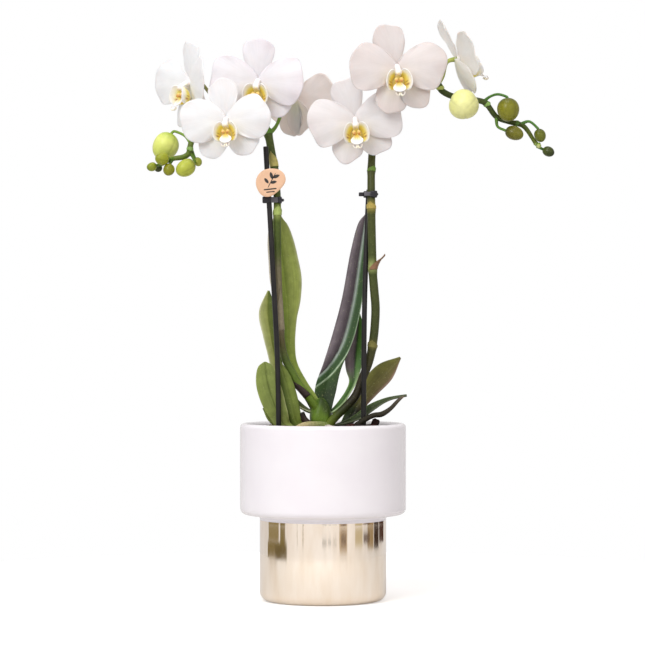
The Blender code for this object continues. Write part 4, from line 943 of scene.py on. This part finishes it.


# Flowers ----------------------------------------------------------------------------------------

# A flower's own frame looks along -Y with +Z up. Centre in mm, turns in degrees, size, how far the
# petals, dorsal and laterals lean forward in degrees, the directions of the dorsal and laterals and
# of the two petals in degrees, the laterals' share of the usual length, how much they cup forward, and
# colours: lit and shaded, a pair for painted shade across each tepal. Flowers 3 to 6 have darker pairs
# than flowers 1, 2 and 7: painted shade where less light reaches them.
FLOWER_KEYS = ("spike", "centre", "turn", "size", "lean", "sepals", "petals", "lateral_share", "cup",
               "tones", "pedicel_tone", "pedicel")
FLOWERS = {name: dict(zip(FLOWER_KEYS, row)) for name, *row in [
    ("flower_1", "spike_left", (-93.5, 8, 363.3), (0, 0, -55), 1, (18, 8, 6), (90, -66, -114), (3, 177), 1.18,
     0, ("#FDFCFD", "#F8F4F5"), "#9A9A62", [(-73.2, 11, 349), (-79, 14.5, 355)]),
    ("flower_2", "spike_left", (-66.8, -30, 334.7), (0, -4, -6), 0.98, (12, 6, 3), (93, -55, -125), (0, 180),
     1.06, 0, ("#FCFAFC", "#EFEAEB"), "#8FA05A", [(-83, 9, 340.4), (-81, 0, 337.5), (-72, -10, 334)]),
    ("flower_3", "spike_left", (-45.2, -12, 362.4), (0, 2, -8), 1.05, (14, 6, 3), (92, -48, -98), (1, 179), 1,
     0, ("#F7F2F6", "#E8DCE4"), "#8FA05A", [(-51.3, 9, 345.4), (-47.5, 9.5, 355)]),
    ("flower_4", "spike_left", (-19.2, 26, 353), (0, 4, 142), 0.97, (14, 6, 3), (84, -76, -106), (3, 177),
     0.96, 0, ("#EFE2DE", "#E2D2CB"), "#6E8F3C", [(-38.7, 1, 325.8), (-33, 3, 332), (-29, 7, 342)]),
    ("flower_5", "spike_right", (22.2, -18, 335.3), (0, -5, 0), 1.04, (12, 6, 3), (102, -49, -110), (3, 182),
     1.04, 0, ("#F5EEEE", "#E8DCDC"), "#6E8F3C", [(38.6, 3, 330.9), (31, 0, 335)]),
    ("flower_6", "spike_right", (50.9, -34, 370.4), (0, -3, 4), 1.05, (12, 6, 3), (104, -56, -102), (-2, 179),
     1.1, 0, ("#ECE2E1", "#DACCC9"), "#6E8F3C", [(57.6, 5, 358.4), (56.5, -4, 366), (52.5, -14, 370)]),
    ("flower_7", "spike_right", (95, -2, 379.4), (-20, 0, 100), 1.02, (11, -1, 4), (90, -60, -120), (3, 177),
     1, 1.5, ("#FEFBF8", "#F8F0E8"), "#A9B45E", [(80.6, 1, 361.8), (84, 0, 367)]),
]}

SEPAL_LENGTH = 28.5
SEPAL_WIDTH = 21.0
PETAL_LENGTH = 31.8
PETAL_WIDTH = 31.0
SEPAL_SET_BACK = 2.3
THROAT_TONE = tint("#E6E0AE")


def tepal(length, width, direction, lean, tones, set_back, blunt, egg, arch, wave, phase, throat=0.0):
    """One sepal or petal as a fan from the hub. The outline at angle a is x = L ((1 + cos a) / 2)^blunt
    and y = W/2 sin a (1 + egg cos a), a little uneven; ring s is the outline scaled by s. It stands
    forward by the lean, rounds back towards its margins by arch times y squared, and its margin waves."""
    s = np.linspace(0.02, 1, 30)[:, None]
    a = np.linspace(-np.pi * 0.985, np.pi * 0.985, 84)[None]
    uneven = 1 + s**2 * (0.022 * np.sin(3 * a + 2 * phase) + 0.016 * np.sin(5 * a + phase))
    x = s * length * ((1 + np.cos(a)) / 2) ** blunt * uneven
    y = s * width / 2 * np.sin(a) * (1 + egg * np.cos(a)) * uneven
    across = y / (width / 2)
    outwards = x / length
    forward = x * np.tan(np.radians(lean)) + 1.6 * np.sin(np.pi * np.clip(outwards, 0, 1)) * arch
    forward = forward - arch * 3.4 * across**2 - arch * 1.6 * outwards**3
    forward = forward + wave * s**4 * (np.sin(3 * a + phase) + 0.6 * np.sin(7 * a + 2 * phase))
    forward = forward - 0.35 * np.exp(-(across / 0.16) ** 2) * (1 - outwards) * np.minimum(1, 4 * s)
    angle = np.radians(direction)
    points = np.stack([
        x * np.cos(angle) - y * np.sin(angle), set_back - forward, x * np.sin(angle) + y * np.cos(angle),
    ], axis=-1)
    lit, shaded = (tint(tone) for tone in tones)
    # Painted shade: each tepal's colour moves towards its shaded tone at the hub and the margins, and more on
    # two opposite sides.
    depth = 0.15 + 0.5 * s**3 + 0.35 * np.exp(-(s / 0.25) ** 2) + 0.2 * np.sin(2 * a + phase) * s
    tone = mix(lit, shaded, depth)
    return surface(points, mix(tone, THROAT_TONE, throat * np.exp(-(s / 0.5) ** 2) + 0 * a))


def column_and_lip(phase):
    """The flower's centre, closed parts first: the column with its anther cap, the two knobs of the
    callus and the two curled cirri. Then the sheets: two side lobes that stand up like a cup, a shallow
    bowl between them, and the shield-shaped mid-lobe."""
    column = [(0.0, 1.6, 0.0), (0.0, -2.2, -0.4), (0.0, -5.4, -2.0), (0.0, -7.8, -4.2), (0.0, -8.9, -6.0)]
    cap_tones = [(0.0, "#FCF9F8"), (0.45, "#FBF7F6"), (0.7, "#F8F0EE"), (0.85, "#FDFAF8"), (1.0, "#F1E2BE")]
    knob = np.array([(1.4, -6.2, -8.6), (1.6, -8.6, -9.2), (1.5, -9.8, -10.6)])
    knob_tones = [(0.0, "#E6C06A"), (0.5, "#F2D584"), (1.0, "#C98E50")]
    cirrus = np.array([(0.3, -11.6, -18.4), (1.0, -13.2, -20.0), (2.3, -14.2, -19.6), (3.0, -13.8, -18.2),
                       (2.6, -13.0, -17.4)])
    closed = [rod(column, [2.2, 1.8, 1.8, 2.3, 1.4], cap_tones, 36, 22)]
    closed += [rod(knob * (way, 1, 1), [0.9, 1.35, 0.7], knob_tones, 20, 14) for way in (-1, 1)]
    closed += [
        rod(cirrus * (way, 1, 1), [0.65, 0.5, 0.4, 0.32, 0.12], [(0, "#F8F0D8"), (1, "#EFE3E0")], 30, 10)
        for way in (-1, 1)
    ]

    t = np.linspace(-1, 1, 40)[None]
    v = np.linspace(0, 1, 24)[:, None]
    angle = np.radians(4 + 56 * t) + 0.25 * v
    depth = v * np.sqrt(np.maximum(0.0, 1 - (0.94 * t) ** 4))
    radius = 3.8 + 5.0 * depth**0.8 - 0.3 * depth**3
    lobe = np.stack([
        radius * np.cos(angle), -2.6 - 9.2 * depth + 0.4 * np.sin(4 * t + phase) * depth,
        -11.0 + radius * np.sin(angle) * 1.22,
    ], axis=-1)
    stripe = np.exp(-((t + 0.34) / 0.09) ** 2) * np.exp(-((v - 0.42) / 0.20) ** 2)
    stripe = stripe + 0.8 * np.exp(-((t + 0.04) / 0.06) ** 2) * np.exp(-((v - 0.30) / 0.18) ** 2)
    tone = blend([(0, "#EED07E"), (0.2, "#F8DE62"), (0.45, "#FBEC92"), (0.68, "#FDF8E0"), (1, "#FEFCF8")],
                 v + 0 * t)
    tone = mix(tone, tint("#8C2A3C"), 0.85 * stripe)
    sheets = [surface(lobe * (way, 1, 1), tone) for way in (-1, 1)]

    s = np.linspace(0.02, 1, 10)[:, None]
    a = np.linspace(-np.pi, np.pi, 40)[None]
    bowl = np.stack([
        4.6 * s * np.cos(a), -2.9 + 1.2 * (1 - s**2) + 0 * a, -11.0 + 5.4 * s * np.sin(a),
    ], axis=-1)
    sheets.append(surface(bowl, blend([(0.0, "#E9C05A"), (0.7, "#F6DE86"), (1.0, "#F9EAB4")], s + 0 * a)))

    s = np.linspace(0.03, 1, 24)[:, None]
    a = np.linspace(-np.pi * 0.985, np.pi * 0.985, 60)[None]
    along = s * 10.5 * ((1 + np.cos(a)) / 2) ** 0.55
    side = s * 4.6 * np.sin(a) * (1 + 0.15 * np.cos(a)) * (1 - 0.25 * (along / 10.5) ** 3)
    y = -7.2 - along * 0.52 + 0.06 * side**2
    z = -10.0 - along * 0.92 + 0.02 * along**2 + 0.05 * side**2
    tone = blend([(0, "#E8BC50"), (0.25, "#F6DC70"), (0.45, "#FAEFC0"), (0.7, "#FDFAF4"), (1, "#FDFBF9")],
                 s + 0 * a)
    freckle = np.exp(-((s - 0.36) / 0.08) ** 2) * np.clip(np.sin(9 * a), 0, 1)
    sheets.append(surface(np.stack([side, y, z], axis=-1), mix(tone, tint("#A0453C"), 0.5 * freckle)))
    return closed, sheets


def placed(part, spec):
    """A part in a flower's own frame, put in its place: sized, turned and moved."""
    points = part["points"] * spec["size"] @ turn_matrix(*spec["turn"]) + np.array(spec["centre"])
    return {**part, "points": points}


def flowers():
    """Each open flower: three sepals behind, two broad petals, and the column and lip in front."""
    for number, (name, spec) in enumerate(FLOWERS.items()):
        petal_lean, dorsal_lean, lateral_lean = spec["lean"]
        dorsal, right, left = spec["sepals"]
        tones, phase = spec["tones"], 1.3 * number
        lateral, arch = SEPAL_LENGTH * spec["lateral_share"], 0.55 - spec["cup"]
        sepals = [
            tepal(SEPAL_LENGTH, SEPAL_WIDTH, dorsal, dorsal_lean, tones, SEPAL_SET_BACK,
                  0.66, 0.12, 0.55, 0.35, phase),
            tepal(lateral, SEPAL_WIDTH, right, lateral_lean, tones, SEPAL_SET_BACK,
                  0.78, 0.04, arch, 0.3, phase + 1, 0.6),
            tepal(lateral, SEPAL_WIDTH, left, lateral_lean, tones, SEPAL_SET_BACK + 1.0,
                  0.78, 0.04, arch, 0.3, phase + 2, 0.6),
        ]
        petals = [
            tepal(PETAL_LENGTH, PETAL_WIDTH, way, petal_lean, tones, 0.0,
                  0.86, 0.20, 0.8, 0.75, phase + 3 * turn)
            for turn, way in enumerate(spec["petals"])
        ]
        column, lip = column_and_lip(phase)
        for ending, parts, skin, slot, part_of, wall in (
            ("sepal_fans", sepals, petal, "petal_white", "sepals", 0.55),
            ("petal_fans", petals, petal, "petal_white", "petals", 0.55),
            ("column", column, lip_skin, "lip_yellow", "lip", 0.0),
            ("lip_lobes", lip, lip_skin, "lip_yellow", "lip", 0.5),
        ):
            parts = [placed(part, spec) for part in parts]
            piece(f"{name}_{ending}", parts, [skin], slot, [f"{name}_{part_of}"], wall)


# Buds: centre, width and length in mm, the direction to the stalk, and colours from tip to stalk.
BUD_KEYS = ("spike", "centre", "size", "stalk_side", "tones", "stalk_tone", "stalk")
BUDS = {name: dict(zip(BUD_KEYS, row)) for name, *row in [
    ("bud_left_1", "spike_left", (-110.6, 2, 318), (18, 19.4), (0.45, 0.1, 0.9),
     ("#C9D65C", "#E3EA84", "#A9BF44"), "#7FA03C", [(-92.4, 1, 320.2), (-97, 2, 325.4), (-103.5, 3, 328.4)]),
    ("bud_left_2", "spike_left", (-111.8, -15, 308.2), (8.8, 10.6), (0.6, 0.8, 0),
     ("#8E962A", "#A2A932", "#5A6A1A"), "#5E7F2A", [(-104, -6, 308.9)]),
    ("bud_left_3", "spike_left", (-119.2, -11, 302.9), (6.2, 7), (0.8, 0.45, 0.3),
     ("#7C8A24", "#98A236", "#5E6E1E"), "#5E7F2A", [(-112, -7.3, 304.8)]),
    ("bud_left_4", "spike_left", (-115.2, -1.4, 302.4), (5.2, 6), (0.5, -0.7, 0.4),
     ("#2E3610", "#3F4A16", "#35401A"), "#4A6A22", [(-109.5, -7, 306.5)]),
    ("bud_left_5", "spike_left", (-107.2, -13.2, 300.7), (8, 8.6), (0.1, 0.65, 0.75),
     ("#8A8C24", "#84861F", "#4F5A14"), "#4A6A22", [(-105, -6.2, 308.6)]),
    ("bud_left_6", "spike_left", (-95.7, -10, 302.2), (11.8, 14.7), (0.7, 0.5, 0.5),
     ("#B4BC48", "#BAC34F", "#6F7A1E"), "#5E7F2A", [(-93.6, -2.5, 313.8), (-91, -4, 310)]),
    ("bud_left_7", "spike_left", (-87.6, -1.6, 306.9), (5.8, 6.4), (-0.5, 0.3, 0.8),
     ("#AEB650", "#A0AA40", "#6B7A26"), "#6B8F3A", [(-92.8, 0, 318)]),
    ("bud_right_1", "spike_right", (97.2, -26, 344.8), (20.6, 21), (0, 0.9, 0.35),
     ("#ECECA6", "#E8EA98", "#B5C04A"), "#6E8F3C", [(92.4, 0, 352.4)]),
    ("bud_right_2", "spike_right", (129, -8, 342.8), (15.4, 16), (-0.1, 0.1, 0.95),
     ("#8A8A2E", "#7E7D1F", "#565C16"), "#4F7A34", [(112, -2, 348.6), (116.5, -3, 352.2), (122, -5, 353.8)]),
    ("bud_right_3", "spike_right", (133.3, -9, 326.4), (9.8, 12.6), (-0.9, 0.2, 0.3),
     ("#7E7E28", "#68661A", "#464C12"), "#5E8434", [(121.2, -2, 338.1), (121.8, -5, 331.5)]),
    ("bud_right_4", "spike_right", (151.4, -6, 325), (8, 9.2), (-0.3, 0.2, 0.9),
     ("#747A28", "#62681C", "#424C14"), "#4F7A34", [(137.5, -2, 332.8), (144, -3, 335)]),
    ("bud_right_5", "spike_right", (157.4, -5, 313.8), (7, 8.4), (-0.85, 0.35, 0.4),
     ("#2C3612", "#444E1A", "#4F6022"), "#4F7A34", [(149.8, -2, 317.8)]),
    ("bud_right_6", "spike_right", (150.4, -8.4, 317.6), (3.4, 4), (0.2, 0.8, 0.55),
     ("#C9C98C", "#8FA84C", "#5E8434"), "#5E8434", [(149.2, -2, 318.6)]),
]}


def buds():
    """Each bud: an egg about its stalk's axis. Its radius is W/2 sin(p)^0.86, wider towards the stalk,
    with three shallow seams where the sepals meet and a low ridge down each sepal."""
    for name, spec in BUDS.items():
        width, length = spec["size"]
        axis = unit(np.array(spec["stalk_side"], float))
        first = unit(np.cross(axis, (0.2, -1.0, 0.1)))
        second = np.cross(axis, first)
        polar = np.linspace(0, np.pi, 40)[:, None]
        around = np.linspace(0, TURN, 60, endpoint=False)[None]
        seam = np.exp(-((np.mod(around, TURN / 3) - TURN / 6) / 0.10) ** 2) * np.sin(polar) ** 0.7
        ridge = np.cos(3 * around) * np.sin(polar) ** 2
        reach = width / 2 * np.sin(polar) ** 0.86 * (1 + 0.06 * np.cos(polar))
        reach = reach * (1 + 0.03 * ridge - 0.03 * seam)
        height = length / 2 * np.cos(polar) * (1 + 0.03 * np.cos(polar) ** 8)
        points = np.array(spec["centre"]) + axis * (height * np.ones_like(around))[..., None] \
            + first * (reach * np.cos(around))[..., None] + second * (reach * np.sin(around))[..., None]
        tip, middle, stalk = spec["tones"]
        tone = blend([(0.0, stalk), (0.14, stalk), (0.42, middle), (1.0, tip)], polar / np.pi + 0 * around)
        # The seams are painted darker: painted shade in their grooves.
        tone = mix(tone, tone * 0.6, 0.45 * seam)
        piece(name + "_skin", [surface(points, tone, loop_columns=True)], [bud_skin], "bud_green", [name])


# Studio -----------------------------------------------------------------------------------------

TABLE_LIFT = 0.46
ROOM_LIGHT = 0.57

# Glowing cards that show only in the gold's mirror, each placed where the gold reflects it: painted dark and
# pale reflections. Place across the gold in mm (two edges), height on the gold in mm (two edges), distance
# out in mm, and colour.
GOLD_REFLECTION_CARDS = [
    ((-37.6, -30.5), (44, 56), 380, "#9A8A62"), ((-29.5, -26), (41, 56), 380, "#8A7A50"),
    ((-38.2, -24.8), (28.5, 43.5), 380, "#857448"), ((-33, -25.5), (31, 41), 360, "#6E5E38"),
    ((-17.9, -17.6), (41, 54), 380, "#B7A47C"), ((-13.9, -13.4), (41, 55), 380, "#A08C64"),
    ((-0.6, 2.4), (42.4, 45), 400, "#4A3A24"), ((3.4, 5.6), (43.2, 45.2), 400, "#6A5638"),
    ((6.6, 9.4), (42.4, 44.6), 400, "#7A6444"), ((11.2, 16.6), (36.6, 55), 420, "#C0A47C"),
    ((12.4, 16), (42, 49.6), 400, "#5E4230"), ((22, 27.2), (41, 54), 420, "#CDBC96"),
    ((27.8, 32.2), (43, 50), 420, "#5A4030"), ((30.6, 34.8), (39, 56), 430, "#A48C64"),
    ((35.2, 38.4), (38.5, 56.6), 400, "#3A281C"), ((38.8, 42), (42.5, 56), 420, "#4A2E22"),
]
CAMERA_SPOT = np.array([-0.35, -1900.0, 194.5])


def stage_mesh(name, part):
    """A piece of the studio, kept out of the object."""
    mesh = bpy.data.meshes.new(name)
    mesh.from_pydata(part["points"].tolist(), [], part["faces"].tolist())
    made = bpy.data.objects.new(name, mesh)
    bpy.context.scene.collection.objects.link(made)
    return made


def paint_gold_reflections():
    """Each card lies where the round wall mirrors it: a ray i from the camera meets the wall at angle t,
    where the normal is n, and leaves along i - 2 (i.n) n for the card's distance. The cards glow and are seen
    only in mirrors: painted reflections in the gold."""
    for number, (across, heights, distance, tone) in enumerate(GOLD_REFLECTION_CARDS):
        turn = np.arcsin(np.clip(np.linspace(*across, 9)[None] / LOWER_RADIUS, -0.999, 0.999))
        height = np.linspace(*heights, 5)[:, None]
        wall = np.stack([
            LOWER_RADIUS * np.sin(turn) + 0 * height,
            -LOWER_RADIUS * np.cos(turn) + 0 * height,
            height + 0 * turn,
        ], axis=-1)
        normal = np.stack([np.sin(turn), -np.cos(turn), 0 * turn], axis=-1)
        inward = unit(wall - CAMERA_SPOT)
        away = inward - 2 * np.sum(inward * normal, axis=-1, keepdims=True) * normal
        card_shape = stage_mesh(f"painted_reflection_card_{number}", surface((wall + away * distance) * MM, np.ones(3)))
        material, _, shader = shader_of(f"painted_reflection_card_{number}")
        feed(shader, {
            "Base Color": (0.0, 0.0, 0.0, 1.0), "Specular IOR Level": 0.0, "Emission Color": linear(tone),
            "Emission Strength": 0.9,
        })
        card_shape.data.materials.append(material)
        card_shape.visible_camera = False
        card_shape.visible_diffuse = False
        card_shape.visible_shadow = False
        card_shape.visible_transmission = False


def studio():
    """A round white table in a white room: plain soft light from the front left, a weaker warm fill from
    the right, a top light, and a few glowing cards, seen only in mirrors, that paint dark and pale
    reflections into the gold. The table also glows in mirrors, a painted reflection."""
    scene = bpy.context.scene
    scene.view_settings.view_transform = "Standard"
    angle = np.linspace(0, TURN, 128, endpoint=False)[None]
    radius = np.array([[0.0], [0.2], [0.39], [0.4]])
    disc = np.stack([radius * np.cos(angle), radius * np.sin(angle), 0 * radius * angle], axis=-1)
    table = stage_mesh("table", surface(disc, np.ones(3), loop_columns=True))
    material, tree, shader = shader_of("matt_white_table")
    place = node(tree, "TexCoord", out="Object")
    depth = node(tree, "SeparateXYZ", [place], out="Y")
    # Painted reflection: in mirrors only, the table glows, more towards the front, so the floor seen in the
    # gold is lighter.
    glow = node(tree, "MapRange", [depth, -0.34, 0.06, 0.24, 0.05])
    glow = node(tree, "Math", [node(tree, "LightPath", out="Is Glossy Ray"), glow], operation="MULTIPLY")
    seen = node(tree, "LightPath", out="Is Camera Ray")
    feed(shader, {
        "Base Color": linear("#E2E0DE"), "Roughness": 0.9, "Emission Color": (1.0, 1.0, 1.0, 1.0),
        "Emission Strength": node(tree, "Math", [seen, TABLE_LIFT, glow], operation="MULTIPLY_ADD"),
    })
    table.data.materials.append(material)
    paint_gold_reflections()

    def light(name, spot, aim, size, power, colour):
        """A soft round area light, turned from its spot to face its aim."""
        data = bpy.data.lights.new(name, "AREA")
        data.shape = "DISK"
        data.size = size
        data.energy = power
        data.color = linear(colour)[:3]
        lamp = bpy.data.objects.new(name, data)
        scene.collection.objects.link(lamp)
        way = np.array(aim) - np.array(spot)
        lamp.location = spot
        tip, turn = np.arctan2(np.hypot(way[0], way[1]), -way[2]), np.arctan2(-way[0], way[1])
        lamp.rotation_euler = (tip, 0.0, turn)

    light("key", (-0.55, -1.15, 1.1), (0.0, 0.0, 0.2), 0.85, 12.5, "#FFFDFC")
    light("fill", (1.0, -1.2, 0.9), (0.0, 0.0, 0.2), 1.0, 3.6, "#FFF2EA")
    light("top", (0.0, -0.3, 1.7), (0.0, 0.0, 0.1), 0.9, 6.0, "#FFFFFF")

    world = bpy.data.worlds.new("white_room")
    scene.world = world
    world.use_nodes = True
    tree = world.node_tree
    place = node(tree, "TexCoord", out="Generated")
    sideways = node(tree, "MapRange", [node(tree, "SeparateXYZ", [place], out="X"), -1.0, 1.0, 1.06, 0.84])
    mirrored = node(tree, "MapRange", [node(tree, "SeparateXYZ", [place], out="Y"), -0.8, 0.3, 1.0, 0.74])
    strength = node(tree, "Math", [sideways, ROOM_LIGHT], operation="MULTIPLY")
    glossy = node(tree, "LightPath", out="Is Glossy Ray")
    strength = node(tree, "MapRange", [glossy, 0.0, 1.0, strength, mirrored])
    room = node(tree, "Background", [linear("#FFFBFA"), strength])
    white = node(tree, "Background", [(1.0, 1.0, 1.0, 1.0), 1.0])
    both = node(tree, "MixShader", [node(tree, "LightPath", out="Is Camera Ray"), room, white])
    feed(next(other for other in tree.nodes if other.type == "OUTPUT_WORLD"), {"Surface": both})

    camera = bpy.data.objects.new("camera", bpy.data.cameras.new("camera"))
    scene.collection.objects.link(camera)
    camera.location = (-0.00035, -1.9, 0.1945)
    camera.rotation_euler = (np.pi / 2, 0.0, 0.0)
    camera.data.sensor_width = 36.0
    camera.data.lens = 36.0 * 1.9 / 0.4515
    scene.camera = camera


planter()
nursery_pot()
bark()
roots()
crown()
leaves()
stakes()
spikes()
ties()
tag()
flowers()
buds()
studio()
